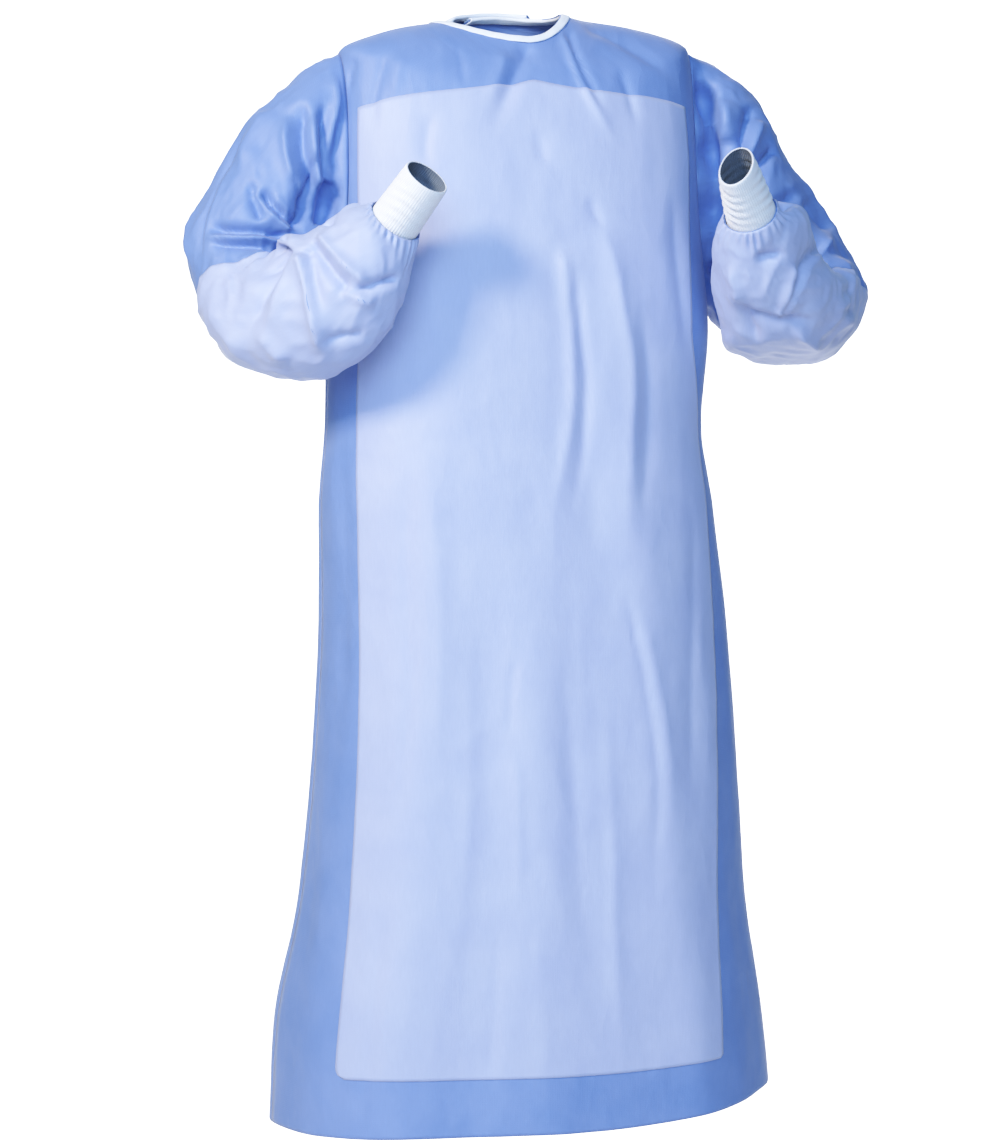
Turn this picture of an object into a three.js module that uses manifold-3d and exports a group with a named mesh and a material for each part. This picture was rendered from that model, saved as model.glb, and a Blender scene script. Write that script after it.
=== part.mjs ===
// Wraparound surgical gown, worn form, reinforced front and sleeves.
// Millimetres, +Z up. The wearer faces -Y and the wearer's left is +X.
// The origin is the middle of the shoulder line, where the wearer holds the gown up.
import * as THREE from 'three';
import { mergeVertices } from 'three/addons/utils/BufferGeometryUtils.js';
import Module from 'manifold-3d';

// Driving sizes
const CLOTH = 1.5;
const FILM = 1.0;
const KNIT = 1.6;
const SEAM_GAP = 0.3;
const BINDING = { width: 11, wall: 1.0, gap: 0.7 };
const CUFF_LAP = 6;

// The flap stands off the back under it by this much, and rises to it over this part of the way round.
const FLAP_LIFT = 5.4;
const FLAP_LIFT_SPAN = { from: 1.4, to: 1.54 };

// Neck tab and waist ties, their knot, and how a strap steps down past the flap's edge. Places are shares
// round the body, and ways down it in millimetres.
const STRAP_GAP = 0.8;
const STRAP_LAYER_GAP = 1.2;
const STEP_DOWN = { from: 5, to: 20 };
const TAB = { width: 24, thickness: 1.2, down: 27, from: -2.16, to: -2.62, steps: 7 };
const TIE = {
  width: 26,
  thickness: 1.2,
  down: 452,
  flapStart: -2.3,
  flapTailSteps: 9,
  sideStart: -2.88,
  sideTailSteps: 7,
  runSteps: 10,
  tailStep: 26,
  lean: 0.012,
  rise: { from: 0.2, to: 0.5 },
};
const KNOT = { across: -2.64, wide: 38, tall: 32, thick: 13, sides: 10, rings: 6 };

// Colours and finishes
const BLUE = { color: 0x86a9dd, roughness: 0.62, metalness: 0 };
const LIGHT_BLUE = { color: 0xb9cbf0, roughness: 0.5, metalness: 0 };
const WHITE_KNIT = { color: 0xf4f3f1, roughness: 0.9, metalness: 0 };
const WHITE_TAPE = { color: 0xe4eaf6, roughness: 0.75, metalness: 0 };

// Body sections from the neck edge to the hem. Each is a closed ring through four poles: the wearer's
// right, front, left and back. down is the way along the cloth, and square is the ring's squareness.
const BODY_SECTIONS = table(
  ['down', 'right', 'front', 'left', 'back', 'zRight', 'zFront', 'zLeft', 'zBack', 'square'],
  [
    [0, 86, 68, 53, 62, 21, -3, 36, 40, 2.0],
    [16, 106, 77, 74, 70, 17, -16, 31, 34, 2.05],
    [45, 152, 92, 128, 80, 6, -38, 24, 12, 2.15],
    [80, 200, 104, 203, 90, -19, -68, 0, -24, 2.3],
    [122, 205, 113, 209, 99, -70, -108, -56, -72, 2.4],
    [168, 208, 121, 212, 106, -138, -156, -130, -138, 2.5],
    [238, 210, 126, 217, 108, -228, -230, -224, -226, 2.5],
    [330, 211, 130, 224, 106, -322, -322, -320, -320, 2.5],
    [438, 213, 130, 216, 102, -430, -430, -428, -430, 2.45],
    [530, 221, 136, 230, 110, -520, -520, -519, -522, 2.4],
    [660, 222, 147, 246, 120, -650, -650, -648, -652, 2.4],
    [810, 229, 159, 257, 134, -800, -800, -796, -800, 2.4],
    [960, 243, 171, 265, 148, -950, -950, -942, -948, 2.4],
    [1112, 271, 182, 285, 160, -1102, -1100, -1088, -1098, 2.4],
    [1208, 276, 188, 293, 164, -1203, -1196, -1170, -1190, 2.4],
  ],
);

// Armholes: where they start and end on the side line, and how far they reach round to the front and back
const ARMHOLE = { top: 80, bottom: 304, front: 0.2, back: 0.3, steps: 9 };

// Reinforcement edges as lengths along the cloth from the middle of the front
const REINFORCEMENT = { top: 66, bottom: 1148 };
const REINFORCEMENT_EDGES = table(
  ['down', 'right', 'left'],
  [
    [66, 207, 200],
    [168, 206, 198],
    [330, 205, 206],
    [438, 208, 222],
    [660, 208, 240],
    [960, 222, 232],
    [1148, 240, 232],
  ],
);

// Rows of the body grid, as ways along the cloth at the side. In the front they rise towards the middle,
// so that the reinforcement's top edge runs level across the chest.
const BINDING_DROP = BINDING.width - BINDING.wall - BINDING.gap;
const YOKE_ROWS = [0, BINDING_DROP, 42];
const FRONT_MIDDLE_ROWS = [0, BINDING_DROP, 20, 34, 42, 53, 66, 112, 168, 220, 262, 292, 304];
const FRONT_RISE_POWER = 1.15;
const SKIRT_ROWS = [362, 438, 530, 660, 800, 930, 1050, 1148, 1208];

// Large folds of the body: place round it at the top and bottom, reach, half width, and height, which is
// minus in a trough
const BODY_FOLDS = table(
  ['topAcross', 'bottomAcross', 'top', 'bottom', 'width', 'height'],
  [
    [0.26, 0.46, 90, 1208, 34, 5],
    [0.12, 0.22, 150, 700, 30, -4],
    [-0.42, -0.52, 330, 1208, 40, 5],
    [-0.04, 0.0, 520, 1208, 30, 4],
    [-0.22, -0.25, 560, 1208, 36, -5],
    [0.74, 0.72, 420, 1208, 34, -5],
    [-0.93, -0.86, 420, 1208, 38, -6],
    [1.22, 1.18, 400, 1208, 42, -9],
    [1.45, 1.42, 430, 1208, 40, 8],
    [-1.3, -1.24, 400, 1208, 42, -9],
    [-1.55, -1.5, 430, 1208, 44, 8],
    [-1.78, -1.76, 400, 1208, 40, -8],
    [1.82, 1.9, 400, 1208, 46, 7],
  ],
);

// How far the two backs reach past the middle of the back, as a share of that half
const FLAP_EDGE = { neck: -2.36, hem: -2.52 };
const UNDER_EDGE = { neck: 2.32, hem: 2.42 };

// Sleeve sections after the armhole ring: the point on the outside of the bend, the point on the inside of
// the bend, and half the width across.
const SLEEVE_COLUMNS = ['xOut', 'yOut', 'zOut', 'xIn', 'yIn', 'zIn', 'half'];
const RIGHT_SLEEVE = table(SLEEVE_COLUMNS, [
  [-240, 6, -44, -224, 5, -298, 66],
  [-284, 8, -82, -236, 3, -305, 68],
  [-319, 10, -130, -246, -5, -310, 68],
  [-346, 14, -182, -254, -17, -313, 66],
  [-365, 18, -232, -260, -31, -314, 63],
  [-359, 10, -282, -264, -48, -308, 61],
  [-344, -8, -328, -265, -65, -297, 60],
  [-316, -38, -363, -260, -80, -278, 59],
  [-282, -80, -384, -251, -94, -257, 58],
  [-246, -124, -386, -239, -107, -237, 57],
  [-214, -158, -367, -227, -122, -221, 54],
  [-189, -180, -338, -215, -138, -210, 48],
  [-172, -190, -304, -208, -151, -206, 41],
  [-162, -188, -277, -203, -163, -210, 35],
]);
const LEFT_SLEEVE = table(SLEEVE_COLUMNS, [
  [250, 4, -19, 235, 5, -294, 66],
  [292, 6, -54, 243, 3, -308, 68],
  [318, 10, -102, 252, -5, -316, 70],
  [349, 18, -152, 260, -17, -320, 70],
  [383, 22, -203, 267, -32, -321, 68],
  [403, 16, -251, 271, -49, -316, 66],
  [415, 2, -297, 272, -66, -306, 66],
  [385, -26, -335, 268, -83, -287, 67],
  [347, -66, -350, 260, -97, -263, 68],
  [308, -110, -350, 250, -112, -239, 67],
  [276, -148, -337, 241, -127, -216, 62],
  [251, -178, -312, 233, -145, -203, 54],
  [231, -200, -284, 226, -162, -196, 46],
  [217, -214, -256, 222, -178, -194, 38],
]);
const REINFORCED_FROM = { right: 7, left: 8 };

// Knit cuffs: middle of the base and of the open end, radius at the base, half width across and up at the
// open end, and the sleeve's ease round the base. The left one lies flatter at its open end.
const RIGHT_CUFF = {
  base: [-172, -178, -225],
  end: [-146, -216, -182],
  baseRadius: 28,
  endHalf: { across: 25.5, up: 25.5 },
  ease: 1.8,
};
const LEFT_CUFF = {
  base: [212, -211, -209],
  end: [181, -254, -165],
  baseRadius: 28,
  endHalf: { across: 19, up: 30 },
  ease: 0.4,
};
const CUFF_SECTIONS = 4;
const CUFF_SIDES = 14;

// Tables and curves

function table(columns, rows) {
  return rows.map((row) => Object.fromEntries(columns.map((name, index) => [name, row[index]])));
}

// Slope at a row that keeps a column from overshooting its own values
function slopeAt(rows, key, column, index) {
  if (index === 0 || index === rows.length - 1) {
    const near = index === 0 ? 1 : index - 1;
    return (rows[near][column] - rows[index][column]) / (rows[near][key] - rows[index][key]);
  }
  const before = (rows[index][column] - rows[index - 1][column]) / (rows[index][key] - rows[index - 1][key]);
  const after = (rows[index + 1][column] - rows[index][column]) / (rows[index + 1][key] - rows[index][key]);
  return before * after <= 0 ? 0 : (2 * before * after) / (before + after);
}

// A column's value at a place between rows, on a smooth curve
function valueAt(rows, key, column, place) {
  let index = 0;
  while (index < rows.length - 2 && rows[index + 1][key] < place) {
    index += 1;
  }
  const start = rows[index];
  const end = rows[index + 1];
  const span = end[key] - start[key];
  const t = THREE.MathUtils.clamp((place - start[key]) / span, 0, 1);
  const startSlope = slopeAt(rows, key, column, index) * span;
  const endSlope = slopeAt(rows, key, column, index + 1) * span;
  const rise = t * t * (3 - 2 * t);
  return (
    start[column] * (1 - rise) + end[column] * rise
    + startSlope * t * (1 - t) * (1 - t) - endSlope * t * t * (1 - t)
  );
}

// Body surface

const QUARTER_SAMPLES = 40;
const sectionCache = new Map();

function sectionPoint(section, angle) {
  const side = Math.sin(angle);
  const ahead = Math.cos(angle);
  const power = 2 / section.square;
  const xShare = Math.abs(side) ** power;
  const yShare = Math.abs(ahead) ** power;
  const halfWidth = side < 0 ? -section.right : section.left;
  const depth = ahead > 0 ? -section.front : section.back;
  const zSide = side < 0 ? section.zRight : section.zLeft;
  const zMiddle = ahead > 0 ? section.zFront : section.zBack;
  const sideWeight = xShare * xShare;
  return new THREE.Vector3(
    halfWidth * xShare,
    depth * yShare,
    zSide * sideWeight + zMiddle * (1 - sideWeight),
  );
}

// A section with the running length of each of its four quarters, from front or back middle to the side
function sectionAt(down) {
  const key = down.toFixed(4);
  if (!sectionCache.has(key)) {
    const section = { down };
    for (const column of Object.keys(BODY_SECTIONS[0])) {
      if (column !== 'down') {
        section[column] = valueAt(BODY_SECTIONS, 'down', column, down);
      }
    }
    section.quarters = [0, 1, 2, 3].map((quarter) => quarterLengths(section, quarter));
    sectionCache.set(key, section);
  }
  return sectionCache.get(key);
}

// Quarters 0 and 1 run from the front and back middle to the left side, 2 and 3 to the right side
function quarterAngle(quarter, share) {
  const turn = (share * Math.PI) / 2;
  const angle = quarter % 2 === 0 ? turn : Math.PI - turn;
  return quarter < 2 ? angle : -angle;
}

function quarterLengths(section, quarter) {
  const lengths = [0];
  let last = sectionPoint(section, quarterAngle(quarter, 0));
  for (let step = 1; step <= QUARTER_SAMPLES; step += 1) {
    const next = sectionPoint(section, quarterAngle(quarter, step / QUARTER_SAMPLES));
    lengths.push(lengths[step - 1] + next.distanceTo(last));
    last = next;
  }
  return lengths;
}

function angleAtShare(section, quarter, share) {
  const lengths = section.quarters[quarter];
  const wanted = share * lengths[QUARTER_SAMPLES];
  let step = 1;
  while (step < QUARTER_SAMPLES && lengths[step] < wanted) {
    step += 1;
  }
  const part = (wanted - lengths[step - 1]) / (lengths[step] - lengths[step - 1]);
  return quarterAngle(quarter, (step - 1 + part) / QUARTER_SAMPLES);
}

// across is 0 at the front middle, 1 at the left side, 2 at the back middle and minus to the right.
// Past 2 it goes on round the back.
function smoothPoint(across, down) {
  const section = sectionAt(down);
  const turned = Math.abs(across) > 2 ? across - 4 * Math.sign(across) : across;
  const size = Math.abs(turned);
  const left = turned >= 0;
  const onFront = size <= 1;
  const quarter = (onFront ? 0 : 1) + (left ? 0 : 2);
  const share = onFront ? size : 2 - size;
  return sectionPoint(section, angleAtShare(section, quarter, share));
}

function quarterLength(across, down) {
  const section = sectionAt(down);
  const quarter = (Math.abs(across) <= 1 ? 0 : 1) + (across >= 0 ? 0 : 2);
  return section.quarters[quarter][QUARTER_SAMPLES];
}

const PROBE = { across: 0.02, down: 3 };

function bodyNormal(across, down) {
  const low = Math.max(down - PROBE.down, 0);
  const high = Math.min(down + PROBE.down, BODY_SECTIONS.at(-1).down);
  const along = smoothPoint(across + PROBE.across, down).sub(smoothPoint(across - PROBE.across, down));
  const away = smoothPoint(across, high).sub(smoothPoint(across, low));
  return away.cross(along).normalize();
}

function foldHeight(across, down) {
  let height = 0;
  for (const fold of BODY_FOLDS) {
    const reach = (down - fold.top) / (fold.bottom - fold.top);
    if (reach > 0) {
      const place = THREE.MathUtils.lerp(fold.topAcross, fold.bottomAcross, Math.min(reach, 1));
      const turned = Math.abs(across) > 2 ? across - 4 * Math.sign(across) : across;
      const distance = ((turned - place) * quarterLength(place, down)) / fold.width;
      const grown = THREE.MathUtils.smoothstep(reach, 0, 0.35);
      const left = fold.bottom < BODY_SECTIONS.at(-1).down ? THREE.MathUtils.smoothstep(1 - reach, 0, 0.35) : 1;
      height += fold.height * grown * left * Math.exp(-distance * distance);
    }
  }
  return height;
}

// Point of the body cloth, moved outwards. The normal is the plain form's, so that layers stay parallel.
function bodyPoint(across, down, outwards = 0) {
  const lift = foldHeight(across, down) + outwards;
  return smoothPoint(across, down).addScaledVector(bodyNormal(across, down), lift);
}

// Walls

class Solid {
  constructor() {
    this.points = [];
    this.faces = [];
  }

  grid(rows) {
    return rows.map((row) => row.map((point) => this.points.push(point) - 1));
  }

  quad(a, b, c, d) {
    this.faces.push(a, b, c, a, c, d);
  }

  // A band of quads between two rows of point numbers, facing out or, with the same diagonals, back
  band(first, second, facingBack = false) {
    for (let index = 0; index < first.length - 1; index += 1) {
      const corners = [first[index], second[index], second[index + 1], first[index + 1]];
      const [a, b, c, d] = corners;
      this.quad(a, facingBack ? d : b, c, facingBack ? b : d);
    }
  }

  geometry() {
    const geometry = new THREE.BufferGeometry();
    const places = this.points.flatMap((point) => [point.x, point.y, point.z]);
    geometry.setAttribute('position', new THREE.Float32BufferAttribute(places, 3));
    geometry.setIndex(this.faces);
    geometry.computeVertexNormals();
    return geometry;
  }
}

// A closed wall between an outer and an inner grid of points, given row by row
function wall(outerRows, innerRows, closedRound = false) {
  const solid = new Solid();
  const outer = solid.grid(outerRows);
  const inner = solid.grid(innerRows);
  const rowsOf = (grid) => (closedRound ? grid.map((row) => [...row, row[0]]) : grid);
  const outside = rowsOf(outer);
  const inside = rowsOf(inner);
  for (let row = 0; row < outside.length - 1; row += 1) {
    solid.band(outside[row], outside[row + 1]);
    solid.band(inside[row], inside[row + 1], true);
  }
  solid.band(inside[0], outside[0]);
  solid.band(outside.at(-1), inside.at(-1));
  if (!closedRound) {
    const side = (grid, column) => grid.map((row) => row.at(column));
    solid.band(side(outside, 0), side(inside, 0));
    solid.band(side(inside, -1), side(outside, -1));
  }
  return solid.geometry();
}

function range(count, make) {
  return Array.from({ length: count }, (_, index) => make(index));
}

// Body panels

function armholeTurn(step) {
  return (Math.PI * step) / ARMHOLE.steps;
}

function armholeDown(step) {
  const middle = (ARMHOLE.top + ARMHOLE.bottom) / 2;
  return middle - Math.cos(armholeTurn(step)) * (middle - ARMHOLE.top);
}

const ARMHOLE_ROWS = range(ARMHOLE.steps + 1, armholeDown);
const BODY_ROWS = [...YOKE_ROWS, ...ARMHOLE_ROWS, ...SKIRT_ROWS];
const FIRST_ARMHOLE_ROW = YOKE_ROWS.length;
const REINFORCEMENT_ROWS = {
  first: FRONT_MIDDLE_ROWS.indexOf(REINFORCEMENT.top),
  last: BODY_ROWS.indexOf(REINFORCEMENT.bottom),
};

// Where a panel's side edge lies in a row: the side line, or the armhole's edge
function sideEdge(row, reach, side) {
  const step = row - FIRST_ARMHOLE_ROW;
  const inArmhole = step > 0 && step < ARMHOLE.steps;
  const cut = inArmhole ? reach * Math.sin(armholeTurn(step)) : 0;
  return 1 + side * (cut + SEAM_GAP / 2 / quarterLength(1, BODY_ROWS[row]));
}

const FRONT_COLUMNS = { side: 2, middle: 13 };

function reinforcementEdge(down, side) {
  const column = side < 0 ? 'right' : 'left';
  const held = THREE.MathUtils.clamp(down, REINFORCEMENT.top, REINFORCEMENT.bottom);
  return valueAt(REINFORCEMENT_EDGES, 'down', column, held) / quarterLength(side * 0.5, held);
}

// Places across the front in one row: side strip, reinforced middle, side strip
function frontPlaces(row) {
  const down = BODY_ROWS[row];
  const edge = sideEdge(row, ARMHOLE.front, -1);
  const right = -reinforcementEdge(down, -1);
  const left = reinforcementEdge(down, 1);
  const { lerp } = THREE.MathUtils;
  const between = (start, end, count) => range(count, (index) => lerp(start, end, index / count));
  const places = [
    ...between(-edge, right, FRONT_COLUMNS.side),
    ...between(right, left, FRONT_COLUMNS.middle),
    ...between(left, edge, FRONT_COLUMNS.side),
    edge,
  ];
  const middleDown = FRONT_MIDDLE_ROWS[row] ?? down;
  return places.map((across) => ({
    across,
    down: THREE.MathUtils.lerp(middleDown, down, (Math.abs(across) / edge) ** FRONT_RISE_POWER),
  }));
}

function frontBody() {
  const rows = (outwards) => BODY_ROWS.map(
    (_, row) => frontPlaces(row).map(({ across, down }) => bodyPoint(across, down, outwards)),
  );
  return wall(rows(0), rows(-CLOTH));
}

function frontReinforcement() {
  const { first, last } = REINFORCEMENT_ROWS;
  const rows = (outwards) => range(last - first + 1, (index) => {
    const places = frontPlaces(first + index);
    const inside = places.slice(FRONT_COLUMNS.side, FRONT_COLUMNS.side + FRONT_COLUMNS.middle + 1);
    return inside.map(({ across, down }) => bodyPoint(across, down, outwards));
  });
  return wall(rows(SEAM_GAP + FILM), rows(SEAM_GAP));
}

const BACK_COLUMNS = 11;

// The flap lies over the other back, so it lifts off the body before it reaches it
function flapLift(across) {
  return FLAP_LIFT * THREE.MathUtils.smoothstep(Math.abs(across), FLAP_LIFT_SPAN.from, FLAP_LIFT_SPAN.to);
}

function backEdge(edge, down) {
  return THREE.MathUtils.lerp(edge.neck, edge.hem, down / BODY_SECTIONS.at(-1).down);
}

// Places across a back in one row, from its side seam to its free edge
function backPlaces(edge, row) {
  const start = Math.sign(edge.neck) * sideEdge(row, ARMHOLE.back, 1);
  const end = backEdge(edge, BODY_ROWS[row]);
  return range(BACK_COLUMNS + 1, (index) => THREE.MathUtils.lerp(start, end, index / BACK_COLUMNS));
}

function backPanel(edge, lift) {
  const side = Math.sign(edge.neck);
  const rows = (outwards) => BODY_ROWS.map((down, row) => (
    backPlaces(edge, row).map((across) => bodyPoint(across, down, outwards + lift(across)))
  ));
  const order = (grid) => (side < 0 ? grid.map((row) => [...row].reverse()) : grid);
  return wall(order(rows(0)), order(rows(-CLOTH)));
}

// Neck binding: a strip folded over the neck edge, from the under back round the front to the flap

function bindingRing(across, lift) {
  const low = bodyNormal(across, BINDING_DROP);
  const high = bodyNormal(across, 0);
  const bottom = bodyPoint(across, BINDING_DROP);
  const edge = bodyPoint(across, 0);
  const upwards = edge.clone().sub(bottom).normalize();
  const at = (base, normal, out, up) => (
    base.clone().addScaledVector(normal, out + lift).addScaledVector(upwards, up)
  );
  const { wall: fold, gap } = BINDING;
  return [
    at(bottom, low, gap, 0),
    at(edge, high, gap, gap),
    at(edge, high, -CLOTH - gap, gap),
    at(bottom, low, -CLOTH - gap, 0),
    at(bottom, low, -CLOTH - gap - fold, 0),
    at(edge, high, -CLOTH - gap - fold, gap + fold),
    at(edge, high, gap + fold, gap + fold),
    at(bottom, low, gap + fold, 0),
  ];
}

function neckBinding() {
  const solid = new Solid();
  const under = backPlaces(UNDER_EDGE, 0).reverse();
  const front = frontPlaces(0).slice(1, -1).reverse();
  const flap = backPlaces(FLAP_EDGE, 0);
  const places = [...under, ...front.map(({ across }) => across), ...flap];
  const rings = places.map((across) => bindingRing(across, across < 0 ? flapLift(across) : 0));
  const numbers = solid.grid(rings).map((ring) => [...ring, ring[0]]);
  for (let index = 0; index < numbers.length - 1; index += 1) {
    solid.band(numbers[index], numbers[index + 1]);
  }
  const first = numbers[0];
  const last = numbers.at(-1);
  for (const [a, b, c, d] of [[0, 1, 6, 7], [1, 2, 5, 6], [2, 3, 4, 5]]) {
    solid.quad(first[a], first[b], first[c], first[d]);
    solid.quad(last[d], last[c], last[b], last[a]);
  }
  return solid.geometry();
}

// Joining of solids that overlap

const solids = await Module();
solids.setup();

const MERGE_DISTANCE = 1e-4;

function joined(geometries) {
  const parts = geometries.map((geometry) => {
    const plain = geometry.clone();
    plain.deleteAttribute('normal');
    plain.deleteAttribute('uv');
    const merged = mergeVertices(plain, MERGE_DISTANCE);
    return new solids.Manifold(new solids.Mesh({
      numProp: 3,
      vertProperties: new Float32Array(merged.attributes.position.array),
      triVerts: new Uint32Array(merged.index.array),
    }));
  });
  const whole = parts.reduce((sum, part) => sum.add(part)).getMesh();
  const geometry = new THREE.BufferGeometry();
  geometry.setAttribute('position', new THREE.BufferAttribute(new Float32Array(whole.vertProperties), 3));
  geometry.setIndex(Array.from(whole.triVerts));
  geometry.computeVertexNormals();
  return geometry;
}

// Neck tab and waist ties: flat straps laid on the faces of the backs, along a route of places

// Point on a back panel's own faces, moved outwards
function panelPoint(edge, lift, across, down, outwards) {
  const next = BODY_ROWS.findIndex((value) => value > down);
  const rowShare = (down - BODY_ROWS[next - 1]) / (BODY_ROWS[next] - BODY_ROWS[next - 1]);
  const above = backPlaces(edge, next - 1);
  const below = backPlaces(edge, next);
  const start = THREE.MathUtils.lerp(above[0], below[0], rowShare);
  const end = THREE.MathUtils.lerp(above.at(-1), below.at(-1), rowShare);
  const column = ((across - start) / (end - start)) * BACK_COLUMNS;
  const first = THREE.MathUtils.clamp(Math.floor(column), 0, BACK_COLUMNS - 1);
  const corner = (places, row, index) => bodyPoint(places[index], BODY_ROWS[row], lift(places[index]));
  const flipped = edge.neck < 0;
  const near = flipped ? first + 1 : first;
  const far = flipped ? first : first + 1;
  const share = flipped ? 1 - (column - first) : column - first;
  const nearTop = corner(above, next - 1, near);
  const farLow = corner(below, next, far);
  const middle = share > rowShare ? corner(above, next - 1, far) : corner(below, next, near);
  const [firstShare, secondShare] = share > rowShare ? [share, rowShare] : [rowShare, share];
  return nearTop.clone()
    .addScaledVector(middle.clone().sub(nearTop), firstShare)
    .addScaledVector(farLow.clone().sub(middle), secondShare)
    .addScaledVector(bodyNormal(across, down), outwards);
}

// Point over the wearer's left back, seen from outside: on the flap, or past its edge on the back under it
function layeredPoint(across, down, outwards) {
  const past = (Math.abs(across) - Math.abs(backEdge(FLAP_EDGE, down))) * quarterLength(across, down);
  if (past < 0) {
    return panelPoint(FLAP_EDGE, flapLift, across, down, outwards);
  }
  const fall = THREE.MathUtils.smoothstep(past, STEP_DOWN.from, STEP_DOWN.to);
  const lift = outwards + FLAP_LIFT * (1 - fall);
  return panelPoint(UNDER_EDGE, () => 0, across + 4, down, lift);
}

function strap(places, width, thickness) {
  const rows = (outwards) => places.map(({ across, down, lift }, index) => {
    const before = places[Math.max(index - 1, 0)];
    const after = places[Math.min(index + 1, places.length - 1)];
    const scale = quarterLength(across, down);
    const run = new THREE.Vector2((after.across - before.across) * scale, after.down - before.down).normalize();
    return [0.5, 0, -0.5].map((share) => {
      const off = share * width;
      return layeredPoint(across - (run.y * off) / scale, down + run.x * off, outwards + lift);
    });
  });
  return wall(rows(thickness), rows(0));
}

function route(steps, make) {
  return range(steps + 1, (index) => make(index / steps));
}

function neckTab() {
  const places = route(TAB.steps, (share) => (
    { across: THREE.MathUtils.lerp(TAB.from, TAB.to, share), down: TAB.down, lift: STRAP_GAP }
  ));
  return strap(places, TAB.width, TAB.thickness);
}

const TIE_LAYER = TIE.thickness + STRAP_LAYER_GAP;

function knot(lift) {
  const normal = bodyNormal(KNOT.across, TIE.down);
  const round = new THREE.Vector3(0, 0, 1).cross(normal).normalize();
  const up = normal.clone().cross(round);
  const geometry = new THREE.SphereGeometry(0.5, KNOT.sides, KNOT.rings);
  geometry.scale(KNOT.wide, KNOT.tall, KNOT.thick);
  const middle = layeredPoint(KNOT.across, TIE.down, lift + KNOT.thick / 2);
  geometry.applyMatrix4(new THREE.Matrix4().makeBasis(round, up, normal).setPosition(middle));
  return geometry;
}

function tieRun(start, lift) {
  const places = route(TIE.runSteps, (share) => (
    { across: THREE.MathUtils.lerp(start, KNOT.across, share), down: TIE.down, lift: lift(share) }
  ));
  return strap(places, TIE.width, TIE.thickness);
}

function tieTail(lean, lift, steps) {
  const places = range(steps + 1, (step) => ({
    across: KNOT.across + lean * step,
    down: TIE.down + TIE.tailStep * step,
    lift,
  }));
  return strap(places, TIE.width, TIE.thickness);
}

function flapTie() {
  const high = STRAP_GAP + TIE_LAYER;
  const { from, to } = TIE.rise;
  const rise = (share) => STRAP_GAP + TIE_LAYER * THREE.MathUtils.smoothstep(share, from, to);
  const run = tieRun(TIE.flapStart, rise);
  return joined([run, tieTail(TIE.lean, high, TIE.flapTailSteps), knot(high + TIE.thickness / 2)]);
}

function sideTie() {
  const run = tieRun(TIE.sideStart, () => STRAP_GAP);
  return joined([run, tieTail(-TIE.lean, STRAP_GAP, TIE.sideTailSteps)]);
}

// Sleeves

function armholeRing(side) {
  const inset = SEAM_GAP;
  return range(ARMHOLE.steps * 2, (step) => {
    const turn = (Math.PI * step) / ARMHOLE.steps;
    const length = quarterLength(side, ARMHOLE.bottom);
    const reach = step <= ARMHOLE.steps ? ARMHOLE.front : -ARMHOLE.back;
    const middle = (ARMHOLE.top + ARMHOLE.bottom) / 2;
    const share = Math.abs(reach) - inset / length;
    const across = 1 - Math.sign(reach) * share * Math.abs(Math.sin(turn));
    const down = middle - Math.cos(turn) * (middle - ARMHOLE.top - inset);
    return { across: side * across, down };
  });
}

// A ring of directions, from one direction turning towards another
function turnedRing(from, towards, count) {
  return range(count, (step) => {
    const turn = (2 * Math.PI * step) / count;
    return from.clone().multiplyScalar(Math.cos(turn)).addScaledVector(towards, Math.sin(turn));
  });
}

// The sleeve's last ring, round the base of its cuff
function wristRing({ base, end, baseRadius, ease }, outward, across, count) {
  const middle = new THREE.Vector3(...base);
  const axis = new THREE.Vector3(...end).sub(middle).normalize();
  const reach = outward.clone().addScaledVector(axis, -outward.dot(axis)).normalize();
  const side = axis.clone().cross(reach);
  const normals = turnedRing(reach, side.dot(across) < 0 ? side.negate() : side, count);
  const radius = baseRadius + SEAM_GAP + CLOTH + ease;
  return { points: normals.map((normal) => normal.clone().multiplyScalar(radius).add(middle)), normals };
}

// Rings of a sleeve from its armhole to its cuff, with the way out of the cloth at each point
function sleeveRings(rows, side, wristCuff) {
  const armhole = armholeRing(side);
  const count = armhole.length;
  const outers = rows.map((row) => new THREE.Vector3(row.xOut, row.yOut, row.zOut));
  const inners = rows.map((row) => new THREE.Vector3(row.xIn, row.yIn, row.zIn));
  const middles = rows.map((_, index) => outers[index].clone().lerp(inners[index], 0.5));
  let across = new THREE.Vector3(0, -1, 0);
  const sections = rows.map((row, index) => {
    const run = middles[Math.min(index + 1, rows.length - 1)].clone().sub(middles[Math.max(index - 1, 0)]);
    const next = inners[index].clone().sub(outers[index]).cross(run).normalize();
    across = next.dot(across) < 0 ? next.negate() : next;
    const reach = outers[index].clone().sub(middles[index]);
    const width = across.clone().multiplyScalar(row.half);
    return turnedRing(reach, width, count).map((offset) => offset.add(middles[index]));
  });
  const outward = outers.at(-1).clone().sub(middles.at(-1));
  const wrist = wristRing(wristCuff, outward, across, count);
  const rings = [armhole.map(({ across: place, down }) => bodyPoint(place, down)), ...sections, wrist.points];
  const normals = tubeNormals(rings, -side);
  normals[0] = armhole.map(({ across: place, down }) => bodyNormal(place, down));
  normals[normals.length - 1] = wrist.normals;
  return { rings, normals };
}

// Ways out of a ringed tube, from the points around each point
function tubeNormals(rings, facing) {
  const count = rings[0].length;
  return rings.map((ring, index) => ring.map((_, step) => {
    const along = rings[Math.min(index + 1, rings.length - 1)][step].clone()
      .sub(rings[Math.max(index - 1, 0)][step]);
    const around = ring[(step + 1) % count].clone().sub(ring[(step + count - 1) % count]);
    return along.cross(around).normalize().multiplyScalar(facing);
  }));
}

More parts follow.
